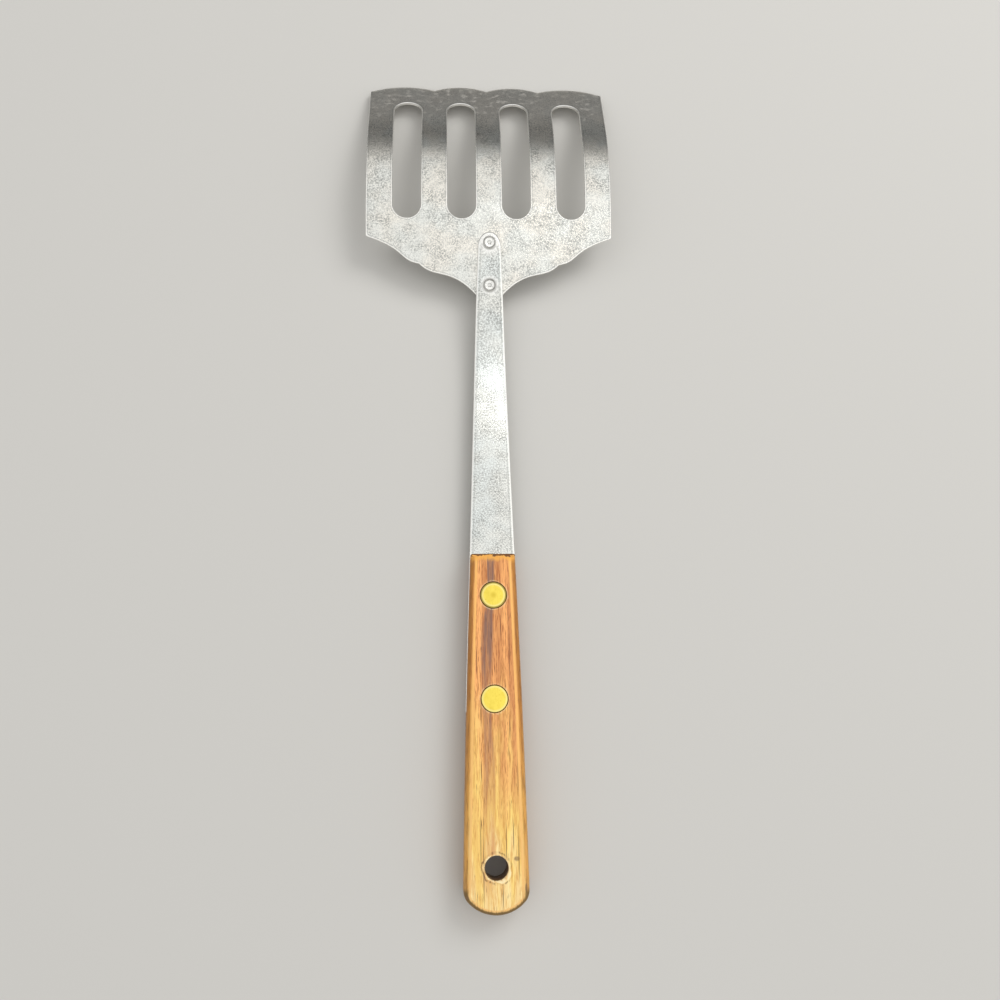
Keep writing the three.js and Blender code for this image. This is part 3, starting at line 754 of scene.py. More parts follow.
def tumbled_steel(name, finishes, warmth, marking, roughness, edge_highlight_width, lip=False, seats=()):
    """Stainless steel, blanked, formed and tumbled in abrasive stones.

    The eye gets a pale, lively grey: a satin mirror broken by fine dark tumbling marks in loose
    clouds, with every edge bright from tumbling and from a painted highlight. The blade's lip is
    scuffed dull by pans and darkened further by a painted dark reflection, and the bar is polished
    round its rivet seats, with a painted sheen there and a dark ring close to each head of painted
    shade and grime.
    """
    material, add = start_material(name)
    place = add(COORDINATES).outputs["Object"]
    # the marks are finer in real steel: here they are as coarse as they need to be to show
    marks = patches(add, place, 0.5, 3.0, (0.44, 0.57), rough=0.9)
    clouds = patches(add, place, 5, 3.0, (0.3, 0.7), (0.4, 1.0))
    cast = patches(add, place, 11, 2.0, (0.35, 0.65), warmth)
    tint = add(MIX, cast, finishes.steel_cool, finishes.steel_warm)
    distance = add((ATTRIBUTE, {"attribute_name": "from_edge"})).outputs["Fac"]
    face = add(STEP, distance, edge_highlight_width / 4, edge_highlight_width)
    pits = add(TIMES, add(TIMES, marks, clouds), face)
    for seat, reach in seats:
        polish_and_sheen = spot(add, place, seat, reach)
        pits = add(TIMES, pits, add(STEP, polish_and_sheen, 0.0, 1.0, 1.0, 0.2))
        # a painted sheen round each seat, where setting dished the steel, with fewer marks where it
        # is polished
        tint = add(MIX, polish_and_sheen, tint, finishes.steel_edge)
    base = add(MIX, add(TIMES, pits, marking), tint, finishes.steel_pit)
    roughness = add(STEP, pits, 0.0, 1.0, *roughness)
    if lip:
        along = add(PARTS, place).outputs["Y"]
        lip_wear_and_reflection = add(STEP, along, BLADE_FRONT - LIP_STARTS, BLADE_FRONT - LIP_FULL)
        scuffs = patches(add, place, (2.4, 1.5, 2.4), 5.0, (0.5, 0.66), rough=0.75)
        scuffs = add(TIMES, scuffs, lip_wear_and_reflection)
        # the lip painted darker: wear, and a painted dark reflection
        base = add(MIX, add(TIMES, lip_wear_and_reflection, 0.6), base, finishes.steel_lip_wear_and_reflection)
        base = add(MIX, add(TIMES, scuffs, 0.7), base, finishes.steel_scuff)
        roughness = add(TIMES_PLUS, lip_wear_and_reflection, 0.1, roughness)
        roughness = add(TIMES_PLUS, scuffs, 0.16, roughness)
    # a dark ring close to each head: painted shade at the head's edge, and grime
    for seat, _ in seats:
        dirt_and_shade = spot(add, place, seat, SEAT_DIRT_AND_SHADE)
        base = add(MIX, add(TIMES, dirt_and_shade, 0.8), base, finishes.steel_dirt_and_shade)
    # a faint dark line painted just inside the edge highlight
    inner_dark_line = band(add, distance, (edge_highlight_width, 1.3 * edge_highlight_width), (1.9 * edge_highlight_width, 1.5 * edge_highlight_width))
    base = add(MIX, add(TIMES, inner_dark_line, 0.3), base, finishes.steel_pit)
    # painted highlight along every edge, laid over the tumbling's brightness
    base = add(MIX, face, finishes.steel_edge, base)
    add(RESULT, add(SURFACE, base_color=base, metallic=1.0, roughness=roughness))
    return material


def set_steel(name, finishes, rivets):
    """Stainless rivets, set with a punch and tumbled with the blade.

    The eye gets bright dished heads, with grime and painted shade in the corners of the dish and
    under the rim.
    """
    material, add = start_material(name)
    place = add(COORDINATES).outputs["Object"]
    from_axis = add((ATTRIBUTE, {"attribute_name": "from_axis"})).outputs["Fac"]
    # the marks are coarser than real ones, so that they show
    marks = patches(add, place, 0.6, 4.0, (0.42, 0.68), rough=0.8)
    base = add(MIX, add(TIMES, marks, 0.5), finishes.steel_edge, finishes.steel_pit)
    head, dimple = rivets.head / 2, rivets.dimple / 2
    into_rim = (head - 0.62 * MM, head - 0.3 * MM)
    past_rim = (head - 0.12 * MM, head - 0.02 * MM, 1.0, 0.5)
    rim = band(add, from_axis, into_rim, past_rim)
    into_dimple = (dimple - 0.3 * MM, dimple - 0.15 * MM)
    past_dimple = (dimple + 0.15 * MM, dimple)
    corner = band(add, from_axis, into_dimple, past_dimple)
    # grime and painted shade on the band inside the rim and round the dimple
    dirt_and_shade = add(GREATER, rim, add(TIMES, corner, 0.5))
    dirt_and_shade = add(TIMES, dirt_and_shade, add(STEP, marks, 0.0, 1.0, 0.7, 0.95))
    base = add(MIX, dirt_and_shade, base, finishes.steel_dirt_and_shade)
    roughness = add(STEP, marks, 0.0, 1.0, 0.2, 0.34)
    add(RESULT, add(SURFACE, base_color=base, metallic=1.0, roughness=roughness))
    return material


def turned_brass(name, finishes, rivets, dull_centre):
    """Yellow brass rivets, turned, then sanded flush with the wood and handled for years.

    The eye gets a soft yellow disc with fine sanding lines, a few pits, a pale band and a
    tarnished rim. One of them has a duller middle, and is tarnished further in.
    """
    material, add = start_material(name)
    place = add(COORDINATES).outputs["Object"]
    from_axis = add((ATTRIBUTE, {"attribute_name": "from_axis"})).outputs["Fac"]
    # the sanding lines and pits are coarser than real ones, so that they show
    lines = patches(add, place, (0.35, 2.5, 0.35), 3.0, (0.35, 0.7))
    pits = patches(add, place, 0.5, 3.0, (0.58, 0.7))
    tarnish = patches(add, place, 2.2, 2.0, (0.4, 0.75))
    middle = spot(add, place, dull_centre, (1.9, 1.9, 20))
    dull = add(TIMES, lines, 0.25)
    for mask, strength in ((tarnish, 0.35), (pits, 0.6), (middle, 0.8)):
        dull = add(GREATER, dull, add(TIMES, mask, strength))
    base = add(MIX, dull, finishes.brass, finishes.brass_dull)
    dull_one = spot(add, place, dull_centre, (15, 15, 40))
    outward = add(TIMES_PLUS, dull_one, 0.3 * MM, from_axis)
    head = rivets.brass_head / 2
    pale = add(STEP, outward, head - 0.9 * MM, head - 0.4 * MM)
    base = add(MIX, add(TIMES, pale, 0.6), base, finishes.brass_pale)
    rim = add(STEP, outward, head - 0.25 * MM, head - 0.05 * MM)
    base = add(MIX, add(TIMES, rim, 0.8), base, finishes.brass_rim)
    roughness = add(STEP, dull, 0.0, 1.0, 0.36, 0.5)
    add(RESULT, add(SURFACE, base_color=base, metallic=1.0, roughness=roughness))
    return material


def oiled_wood(name, settings, heads, hole):
    """Dense striped hardwood, machined, oiled and worn by handling and washing.

    The eye gets long straight grain that goes from salmon brown to gold, a fibrous purple-grey
    streak of heartwood, short dark pores and a few long checks. The long edges are worn golden and
    carry a painted sheen, the sides are dark with oil and painted shade, and bare wood shows round
    the hang hole. The front edge carries a painted highlight above a ragged dark line of painted
    shade and grime, and the butt's edge and the hang hole's bore are painted in shade.
    """
    finishes = settings.finishes
    material, add = start_material(name)
    coordinates = add(COORDINATES)
    place = coordinates.outputs["Object"]
    across, along, _ = add(PARTS, place).outputs
    upward = add(SIZE_OF, add(PARTS, coordinates.outputs["Normal"]).outputs["Z"])
    from_front = add(TIMES_PLUS, along, -1.0, HANDLE_FRONT)

    # grain that pales from the front to the butt, with fibres a little coarser than real ones
    stripes = patches(add, place, (1.5, 70, 2), 3.0, (0.36, 0.68))
    fibres = patches(add, place, (0.3, 6, 0.3), 2.0, (0.5, 0.6), rough=0.9)
    drift = patches(add, place, (2.5, 18, 2.5), 2.0, (0.25, 0.75), (-14 * MM, 14 * MM))
    drifted = add(PLUS, from_front, drift)
    paling = add(STEP, drifted, 34 * MM, 92 * MM)
    bleaching = add(STEP, drifted, 80 * MM, 102 * MM)
    light = add(MIX, paling, finishes.wood_front, finishes.wood_rear)
    light = add(MIX, bleaching, light, finishes.wood_butt)
    dark = add(MIX, paling, finishes.wood_front_dark, finishes.wood_rear_dark)
    base = add(MIX, add(TIMES, stripes, add(STEP, paling, 0.0, 1.0, 0.5, 0.38)), light, dark)
    base = add(MIX, add(TIMES, fibres, add(STEP, paling, 0.0, 1.0, 0.68, 0.64)), base, dark)

    # heartwood that narrows and leans to one side
    lean = add(STEP, from_front, 0.0, 30 * MM, 0.6 * MM, 2.0 * MM)
    wander = patches(add, place, (3, 30, 3), 2.0, (0.25, 0.75), (-0.6 * MM, 0.6 * MM))
    from_heart = add(SIZE_OF, add(PLUS, add(PLUS, across, lean), wander))
    from_heart = add(TIMES_PLUS, paling, -0.7 * MM, from_heart)
    heart = add(STEP, from_heart, 1.9 * MM, 0.3 * MM)
    heart = add(TIMES, heart, add(STEP, from_front, 106 * MM, 80 * MM))
    heart = add(STEP, add(TIMES_PLUS, fibres, -0.3, heart), 0.0, 0.5)
    heart = add(TIMES, heart, add(STEP, from_front, 30 * MM, 62 * MM, 1.0, 0.7))
    broken = patches(add, place, (0.8, 16, 0.8), 3.0, (0.35, 0.65), (0.95, 0.35))
    heartwood = add(MIX, paling, finishes.wood_heart, finishes.wood_heart_rear)
    base = add(MIX, add(TIMES, heart, broken), base, heartwood)

    # pores and checks
    pores = patches(add, place, (0.24, 5, 0.24), 2.0, (0.645, 0.725))
    for x, y, reach in WOOD_CHECKS:
        centre = (x * MM, y * MM, HANDLE_TOP)
        check = spot(add, place, centre, (CHECK_HALF_WIDTH, reach, MARK_DEPTH))
        pores = add(GREATER, pores, check)
    base = add(MIX, add(TIMES, pores, 0.75), base, finishes.dark_pore_and_shade)

    # long edges worn golden, with a painted sheen on their rounding, and sides dark with oil and
    # painted shade
    worn = band(add, upward, (0.86, 0.95), (0.998, 0.98))
    golden = add(MIX, paling, finishes.wood_edge, finishes.edge_wear_and_sheen_rear)
    base = add(MIX, add(TIMES, worn, 0.8), base, golden)
    # sides darker where they turn from the top: oil, and painted shade
    oiled = add(STEP, upward, 0.965, 0.8)
    side = add(MIX, paling, finishes.side_oil_and_shade, finishes.side_oil_and_shade_rear)
    grubby = patches(add, place, (0.6, 7, 0.6), 3.0, (0.44, 0.62), rough=0.7)
    side = add(MIX, add(TIMES, grubby, 0.5), side, finishes.dark_pore_and_shade)
    base = add(MIX, add(TIMES, oiled, 0.88), base, side)

    # front edge: worn golden with a painted highlight on its rounding, and a ragged dark line along
    # the joint, painted shade in the gap and grime
    rounded = add(STEP, upward, 0.05, 0.35)
    ragged = patches(add, place, 2.2, 4.0, (0.3, 0.7), (-0.55 * MM, 0.55 * MM), rough=0.65)
    torn = add(PLUS, from_front, ragged)
    front_edge = add(TIMES, add(STEP, torn, 2.7 * MM, 1.1 * MM), rounded)
    base = add(MIX, add(TIMES, front_edge, 0.85), base, finishes.front_edge_wear_and_highlight)
    joint_shade_and_dirt = band(add, torn, (-0.35 * MM, 0.0), (0.8 * MM, 0.5 * MM))
    joint_shade_and_dirt = add(TIMES, joint_shade_and_dirt, rounded)
    base = add(MIX, add(TIMES, joint_shade_and_dirt, 0.9), base, finishes.dark_pore_and_shade)

    # butt edge: its rounding painted in shade, broken up by the grubby noise
    butt = add(STEP, along, HANDLE_BUTT + 8 * MM, HANDLE_BUTT + 6 * MM)
    butt_edge_shade = add(TIMES, butt, add(STEP, add(TIMES_PLUS, grubby, -0.06, upward), 0.97, 0.8))
    butt_edge_shade = add(TIMES, butt_edge_shade, add(STEP, rounded, 0.0, 1.0, 0.3, 0.85))
    base = add(MIX, butt_edge_shade, base, finishes.shaded_butt_edge)

    # rivet seats: a broken pale line round each head
    plan = add(JOINED, across, along)
    seat = settings.rivets.brass_head / 2 + settings.rivets.brass_ring
    into_halo = (seat - 0.1 * MM, seat + 0.1 * MM)
    past_halo = (seat + 0.5 * MM, seat + 0.2 * MM)
    for head in heads:
        away = add(TIMES_PLUS, ragged, 0.3, add(LENGTH, add(FITTED, plan, head)))
        halo = band(add, away, into_halo, past_halo)
        halo = add(TIMES, halo, add(STEP, grubby, 0.0, 1.0, 0.3, 0.05))
        base = add(MIX, halo, base, finishes.wood_raw)

    # hang hole: bare wood at its chipped mouth, a brown line round that, and the bore's wall
    # painted dark as shade
    radius = settings.handle.hole / 2
    away = add(LENGTH, add(FITTED, plan, hole))
    chip_x = hole[0] + CHIP_DISTANCE * math.cos(CHIP_ANGLE)
    chip_y = hole[1] + CHIP_DISTANCE * math.sin(CHIP_ANGLE)
    chip = spot(add, place, (chip_x, chip_y, HANDLE_TOP), 3.4)
    frayed = add(TIMES_PLUS, chip, -0.7 * MM, add(TIMES_PLUS, ragged, 0.45, away))
    into_rim = (radius + 0.5 * MM, radius + 0.8 * MM)
    past_rim = (radius + 1.3 * MM, radius + 0.9 * MM)
    rim = add(TIMES, band(add, frayed, into_rim, past_rim), add(STEP, grubby, 0.0, 1.0, 0.12, 0.75))
    base = add(MIX, rim, base, finishes.dark_pore_and_shade)
    mouth = add(STEP, frayed, radius + 0.6 * MM, radius + 0.3 * MM)
    mouth = add(TIMES, mouth, add(STEP, grubby, 1.0, 0.0, 0.2, 0.85))
    base = add(MIX, mouth, base, finishes.wood_raw)
    # painted shade on the bore's wall
    bore = add(STEP, away, radius + 0.2 * MM, radius + 0.1 * MM)
    bore = add(TIMES, bore, add(STEP, upward, 0.5, 0.2))
    base = add(MIX, add(TIMES, bore, 0.85), base, finishes.dark_pore_and_shade)

    for x, y, width, length in WOOD_STAINS:
        centre = (x * MM, y * MM, HANDLE_TOP)
        stain = spot(add, place, centre, (width, length, MARK_DEPTH))
        stain = add(TIMES, stain, add(STEP, grubby, 0.0, 1.0, 0.85, 0.65))
        base = add(MIX, stain, base, finishes.wood_stain)

    relief = add(TIMES_PLUS, fibres, 0.35, pores)
    bump = add(BUMP, strength=0.35, distance=0.08 * MM, height=relief)
    roughness = add(STEP, fibres, 0.0, 1.0, 0.4, 0.55)
    add(RESULT, add(SURFACE, base_color=base, roughness=roughness, normal=bump))
    return material


# Blade


def blade_outline(settings):
    blade, neck_half = settings.blade, settings.shank.neck_width / 2
    neck, step = settings.shank.exposed, blade.outline_step
    half = half_width(blade)
    notch = (blade.notch_spread / 2, neck + blade.notch_from_neck)
    rear_y = neck + blade.rear_corner_from_neck
    rear_slope, _ = OUTER_END
    rear = (
        half - blade.rear_corner * math.cos(rear_slope),
        rear_y - blade.rear_corner * math.sin(rear_slope),
    )
    front = (half - blade.front_corner, neck + blade.front_notch - blade.front_setback)
    side_end = (half, front[1] - blade.front_corner)
    tongue = (0, neck - blade.tongue_rise)
    right = np.concatenate([
        bezier([tongue, (2 * neck_half / 3, tongue[1]), (neck_half, neck)], step),
        held_curve((neck_half, neck), notch, INNER_START, INNER_END, step),
        held_curve(notch, rear, OUTER_START, OUTER_END, step),
        bezier([rear, (half, rear_y), (half, rear_y + blade.rear_corner)], step / FINER),
        line((half, rear_y + blade.rear_corner), side_end, step),
        arc((front[0], side_end[1]), blade.front_corner, 0, math.pi / 2, step / FINER),
        [front],
    ])
    count, pitch = blade.slot_count, slot_pitch(blade)
    notches = [((count / 2 - i) * pitch, neck + blade.front_notch) for i in range(1, count)]
    ends = [front, *notches, (-front[0], front[1])]
    scallops = [bulge(a, b, blade.scallop_rise, step) for a, b in zip(ends, ends[1:])]
    return mirrored(right, np.concatenate(scallops)[1:])


def slot_pitch(blade):
    return blade.slot_width + blade.bar_width


def half_width(blade):
    return (blade.slot_count * blade.slot_width + (blade.slot_count + 1) * blade.bar_width) / 2


def slot_outline(settings, x):
    """A slot's edge, run clockwise."""
    blade = settings.blade
    radius = blade.slot_width / 2
    rear = settings.shank.exposed + blade.slot_from_neck + radius
    front = rear + blade.slot_length - blade.slot_width
    step = blade.outline_step
    return np.concatenate([
        line((x - radius, rear), (x - radius, front), step),
        arc((x, front), radius, math.pi, 0, step),
        line((x + radius, front), (x + radius, rear), step),
        arc((x, rear), radius, 0, -math.pi, step),
    ])


def blade_rivet_places(settings):
    """Distances along the steel of the two blade rivets."""
    rear = settings.shank.exposed + settings.rivets.from_neck
    return rear, rear + settings.rivets.spacing


def blade_rivet_seats(settings, profile):
    """Where the two blade rivets' heads sit on the shank, and its slope there."""
    half = settings.shank.thickness / 2
    places = [profile.place(distance, half) for distance in blade_rivet_places(settings)]
    return [(0, HANDLE_FRONT + y, z) for y, z, _ in places], places[0][2]


class SPATULA_OT_blade(bpy.types.Operator):
    """Build the bent blade with its slots, scalloped front edge and notched shoulders"""

    bl_idname = "spatula.blade"
    bl_label = "Blade"

    def execute(self, context):
        settings = context.scene.spatula
        blade, rivets = settings.blade, settings.rivets
        outline = blade_outline(settings)
        front = settings.shank.exposed + blade.front_notch - 2 * blade.front_setback
        share = np.clip((outline[:, 1] - front) / blade.front_setback, 0, 1)
        inset = between(blade.edge, blade.bevel_width, share)
        drop = between(blade.edge, blade.bevel_drop, share)
        edges = [Edge(outline, inset, drop)]
        for i in range(blade.slot_count):
            x = (i - (blade.slot_count - 1) / 2) * slot_pitch(blade)
            edges.append(Edge(slot_outline(settings, x), blade.edge, blade.edge))
        for distance in blade_rivet_places(settings):
            hole = circle((0, distance), rivets.shaft / 2 + rivets.clearance, blade.outline_step)
            edges.append(Edge(hole, blade.edge / 2, blade.edge / 2))
        plate = Plate(edges, *blade_offsets(settings), blade.grid_step)
        made = new_object("blade_sheet", plate_mesh("blade_sheet", plate, steel_profile(settings)))
        finish = tumbled_steel(
            "tumbled stainless sheet", settings.finishes, warmth=(0.4, 1), marking=0.88,
            roughness=(0.27, 0.34), edge_highlight_width=0.42 * MM, lip=True,
        )
        dress(made, finish, "blade_steel", "blade")
        return {"FINISHED"}


# Shank


def handle_half_width(settings, from_front):
    """Half the handle's width, a distance back from its front."""
    handle = settings.handle
    share = from_front / (HANDLE_FRONT - HANDLE_BUTT - handle.butt_rise)
    taper = (handle.front_width * (1 - share) + handle.butt_width * share) / 2
    return taper + 4 * handle.side_crown * share * (1 - share)


def shank_outline(settings):
    shank = settings.shank
    step = shank.step
    tip = shank.exposed + tip_from_neck(settings)
    shoulder = tip - shank.tip_round
    back = np.linspace(shank.tang, 0, steps_for(shank.tang, step), endpoint=False)
    tang_side = np.column_stack([handle_half_width(settings, back) + shank.tang_proud, -back])
    front = (handle_half_width(settings, 0) + shank.tang_proud, 0)
    neck = (shank.neck_width / 2, shank.exposed)
    rounded = arc((0, 0), 1, 0, math.pi / 2, step / shank.tip_round / FINER)
    right = np.concatenate([
        line((0, -shank.tang), tang_side[0], step),
        tang_side,
        line(front, neck, step),
        line(neck, (shank.tip_width / 2, shoulder), step),
        rounded * [shank.tip_width / 2, shank.tip_round] + [0, shoulder],
    ])
    return mirrored(right, np.array([[0.0, tip]]))


def brass_places(settings):
    """Distances back from the handle's front of the two brass rivets."""
    rear = settings.shank.tang - settings.rivets.brass_from_tang_end
    return settings.rivets.brass_from_front, rear


class SPATULA_OT_shank(bpy.types.Operator):
    """Build the tapered shank with its half tang and its neck's bend"""

    bl_idname = "spatula.shank"
    bl_label = "Shank"

    def execute(self, context):
        settings = context.scene.spatula
        shank, rivets = settings.shank, settings.rivets
        outline = shank_outline(settings)
        share = np.clip(outline[:, 1] / EDGE_RUN_OUT, 0, 1)
        inset = between(shank.tang_edge, shank.edge_inset, share)
        drop = between(shank.tang_edge, shank.edge_drop, share)
        edges = [Edge(outline, inset, drop)]
        holes = [(distance, rivets.shaft) for distance in blade_rivet_places(settings)]
        holes += [(-distance, rivets.barrel) for distance in brass_places(settings)]
        for distance, diameter in holes:
            hole = circle((0, distance), diameter / 2 + rivets.clearance, shank.step / 2)
            edges.append(Edge(hole, shank.tang_edge, shank.tang_edge))
        half = shank.thickness / 2
        plate = Plate(edges, -half, half, shank.step)
        profile = steel_profile(settings)
        made = new_object("shank_bar", plate_mesh("shank_bar", plate, profile))
        seats, _ = blade_rivet_seats(settings, profile)
        finish = tumbled_steel(
            "tumbled stainless bar", settings.finishes, warmth=(0, 0.5), marking=0.9,
            roughness=(0.16, 0.16), edge_highlight_width=0.7 * MM, seats=list(zip(seats, SEAT_POLISH_AND_SHEEN)),
        )
        dress(made, finish, "shank_steel", "shank")
        return {"FINISHED"}


# Handle


def handle_outline(settings):
    """The handle's outline, with Y from its front."""
    handle = settings.handle
    length = HANDLE_FRONT - HANDLE_BUTT
    corner = length - handle.butt_rise
    count = steps_for(corner, handle.step)
    back = np.linspace(corner - handle.butt_corner, handle.front_corner, count)
    side = np.column_stack([handle_half_width(settings, back), -back])
    ends = [np.array([handle_half_width(settings, d), -d]) for d in (corner, 0)]
    arc_points = bulge(ends[0] * [-1, 1], ends[0], handle.butt_rise, handle.step)
    clear = [p for p in arc_points if math.dist(p, ends[0]) > handle.butt_corner and p[0] >= 0]
    in_front = (ends[1][0] - handle.front_corner, 0)
    right = np.concatenate([
        clear,
        bezier([clear[-1], ends[0], side[0]], handle.step / FINER)[1:],
        side[:-1],
        bezier([side[-1], ends[1], in_front], handle.step / FINER),
        line(in_front, (0, 0), handle.step),
    ])
    return mirrored(right, np.zeros((0, 2)))


class SPATULA_OT_handle(bpy.types.Operator):
    """Build the wooden handle with its saw kerf, rivet seats and worn hang hole"""

    bl_idname = "spatula.handle"
    bl_label = "Handle"

    def execute(self, context):
        settings = context.scene.spatula
        handle = settings.handle
        outline = handle_outline(settings)
        from_front = -outline[:, 1]
        to_corner = (HANDLE_FRONT - HANDLE_BUTT - handle.butt_rise) - from_front
        at_front = np.clip(1 - from_front / handle.front_round, 0, 1)
        at_butt = np.clip(0.5 - to_corner / (2 * handle.butt_round), 0, 1)
        worn = handle.side_round * (1 - at_front - at_butt)
        worn += handle.front_round * at_front + handle.butt_round * at_butt
        hole_y = HANDLE_BUTT - HANDLE_FRONT + handle.hole_from_butt
        hole = circle((0, hole_y), handle.hole / 2, handle.step / FINER)
        angle = np.arctan2(hole[:, 1] - hole_y, hole[:, 0])
        chipped = np.exp(-(((angle - CHIP_ANGLE) / CHIP_SPREAD) ** 2))
        mouth = handle.hole_round + handle.hole_chip * chipped
        edges = [Edge(outline, worn, worn), Edge(hole, mouth, handle.hole_round)]
        plate = Plate(edges, 0, HANDLE_TOP, COARSER * handle.step)
        points = plate.points + [0, HANDLE_FRONT, 0]
        made = new_object("handle_wood", new_mesh("handle_wood", points, plate.faces))
        cutters = self.cutters(settings)
        for cutter in cutters:
            cut = made.modifiers.new(cutter.name, "BOOLEAN")
            cut.operation = "DIFFERENCE"
            cut.solver = "EXACT"
            cut.object = cutter
        settled(made)
        for cutter in cutters:
            bpy.data.objects.remove(cutter)
        made.data.set_sharp_from_angle(angle=SHARP_ANGLE)
        heads = [(0, HANDLE_FRONT - distance, 0) for distance in brass_places(settings)]
        hole_place = (0, hole_y + HANDLE_FRONT, 0)
        finish = oiled_wood("oiled striped hardwood", settings, heads, hole_place)
        dress(made, finish, "handle_wood", "handle")
        return {"FINISHED"}

    def cutters(self, settings):
        """The tools that cut the saw kerf and the two stepped rivet seats."""
        handle, shank, rivets = settings.handle, settings.shank, settings.rivets
        half_gap = shank.thickness / 2 + handle.kerf_gap
        across = (-handle.butt_width, handle.butt_width)
        along = (HANDLE_FRONT - shank.tang - handle.kerf_gap, HANDLE_FRONT + CUT_OVERRUN)
        up = (HANDLE_TOP / 2 - half_gap, HANDLE_TOP / 2 + half_gap)
        corners = [(x, y, z) for z in up for y in along for x in across]
        faces = [(0, 2, 3, 1), (4, 5, 7, 6), (0, 1, 5, 4), (1, 3, 7, 5), (3, 2, 6, 7), (2, 0, 4, 6)]
        made = [new_object("kerf", new_mesh("kerf", corners, faces))]
        bore = rivets.barrel / 2 + rivets.clearance
        head = rivets.brass_head / 2 + rivets.brass_ring
        seat = rivets.brass_thickness + rivets.seat
        top, bottom = HANDLE_TOP + CUT_OVERRUN, -CUT_OVERRUN
        profile = [
            (0, bottom), (head, bottom), (head, seat), (bore, seat),
            (bore, HANDLE_TOP - seat), (head, HANDLE_TOP - seat), (head, top), (0, top),
        ]
        for distance in brass_places(settings):
            mesh = lathe("rivet_seat", profile)
            points = np.array([vertex.co for vertex in mesh.vertices])
            points += [0, HANDLE_FRONT - distance, 0]
            mesh.vertices.foreach_set("co", points.ravel())
            made.append(new_object("rivet_seat", mesh))
        return made


# Rivets


def copies_tree():
    """Geometry nodes that set copies of a piece along a line, and the names of its inputs."""
    tree = bpy.data.node_groups.new("Copies along a line", "GeometryNodeTree")
    kinds = {
        "Geometry": "NodeSocketGeometry", "Count": "NodeSocketInt", "Start": "NodeSocketVector",
        "Step": "NodeSocketVector", "Finish": "NodeSocketMaterial",
    }
    names = {
        name: tree.interface.new_socket(name=name, in_out="INPUT", socket_type=kind).identifier
        for name, kind in kinds.items()
    }
    tree.interface.new_socket(name="Geometry", in_out="OUTPUT", socket_type="NodeSocketGeometry")
    add = adder(tree)
    given = add(("NodeGroupInput", {})).outputs
    along = add(
        ("GeometryNodeMeshLine", {"mode": "OFFSET"}),
        count=given["Count"], start_location=given["Start"], offset=given["Step"],
    )
    copies = add(("GeometryNodeInstanceOnPoints", {}), points=along, instance=given["Geometry"])
    real = add(("GeometryNodeRealizeInstances", {}), copies)
    dressed = add(("GeometryNodeSetMaterial", {}), geometry=real, material=given["Finish"])
    add(("NodeGroupOutput", {}), dressed)
    return tree, names


def rivet_pair(name, mesh, start, end, material, slot, nodes):
    """Sets a rivet at two places and dresses the pair as one piece."""
    made = new_object(name, mesh)
    tree, names = copies_tree()
    copies = made.modifiers.new("copies", "NODES")
    copies.node_group = tree
    copies[names["Count"]] = 2
    copies[names["Start"]] = list(start)
    copies[names["Step"]] = list(np.subtract(end, start))
    copies[names["Finish"]] = material
    settled(made)
    dress(made, material, slot, *nodes)


class SPATULA_OT_blade_rivets(bpy.types.Operator):
    """Build the two dished rivets that hold the blade to the shank"""

    bl_idname = "spatula.blade_rivets"
    bl_label = "Blade rivets"

    def execute(self, context):
        settings = context.scene.spatula
        rivets, shank = settings.rivets, settings.shank
        head, tail = rivets.head / 2, rivets.tail / 2
        clamped = shank.thickness + settings.blade.lap_gap + settings.blade.thickness
        tail_top = -(clamped + rivets.seat)
        tail_end = tail_top - rivets.tail_height
        tail_crown = rivets.tail_height / 12
        head_top = rivets.seat + rivets.head_height
        dish = head_top - rivets.dish
        dimple = rivets.dimple / 2
        punched_out, punched_in = 0.7 * dimple, 0.4 * dimple
        punched = dish - rivets.dimple_depth
        profile = [
            (0, tail_end),
            (tail / 2, tail_end + tail_crown),
            (tail, (tail_top + tail_end) / 2),
            (tail, tail_top),
            (rivets.shaft / 2, tail_top),
            (rivets.shaft / 2, rivets.seat),
            (head, rivets.seat),
            (head, head_top),
            (head - rivets.rim, head_top),
            (head - rivets.rim - rivets.dish_wall, dish),
            (dimple, dish),
            (punched_out, punched),
            (punched_in, punched),
            (0, dish),
        ]
        mesh = lathe("blade_rivets", profile, rivets.head_round)
        (rear, front), slope = blade_rivet_seats(settings, steel_profile(settings))
        mesh.transform(Euler((slope, 0, 0)).to_matrix().to_4x4())
        finish = set_steel("set stainless rivet", settings.finishes, rivets)
        nodes = ("blade_rivet_rear", "blade_rivet_front")
        rivet_pair("blade_rivets", mesh, rear, front, finish, "rivet_steel", nodes)
        return {"FINISHED"}


class SPATULA_OT_handle_rivets(bpy.types.Operator):
    """Build the brass sockets and posts of the two handle rivets"""

    bl_idname = "spatula.handle_rivets"
    bl_label = "Handle rivets"

    def execute(self, context):
        settings = context.scene.spatula
        rivets = settings.rivets
        head, barrel, post = rivets.brass_head / 2, rivets.barrel / 2, rivets.post / 2
        head_low = HANDLE_TOP - rivets.brass_thickness
        barrel_end = rivets.brass_thickness + rivets.barrel_gap
        bore = post + rivets.clearance
        tip = head_low - rivets.barrel_gap
        socket = [
            (0, head_low), (bore, head_low), (bore, barrel_end), (barrel, barrel_end),
            (barrel, head_low), (head, head_low), (head, HANDLE_TOP), (0, HANDLE_TOP),
        ]
        pin = [
            (0, 0), (head, 0), (head, rivets.brass_thickness), (post, rivets.brass_thickness),
            (post, tip - rivets.post_chamfer), (post - rivets.post_chamfer, tip), (0, tip),
        ]
        front, rear = [(0, HANDLE_FRONT - d, 0) for d in brass_places(settings)]
        finish = turned_brass("turned yellow brass", settings.finishes, rivets, front)
        for name, profile in (("socket", socket), ("post", pin)):
            mesh = lathe(name, profile, rivets.rim_round)
            nodes = [f"handle_rivet_{place}_{name}" for place in ("front", "rear")]
            rivet_pair(f"brass_{name}s", mesh, front, rear, finish, "rivet_brass", nodes)
        return {"FINISHED"}


# Stage


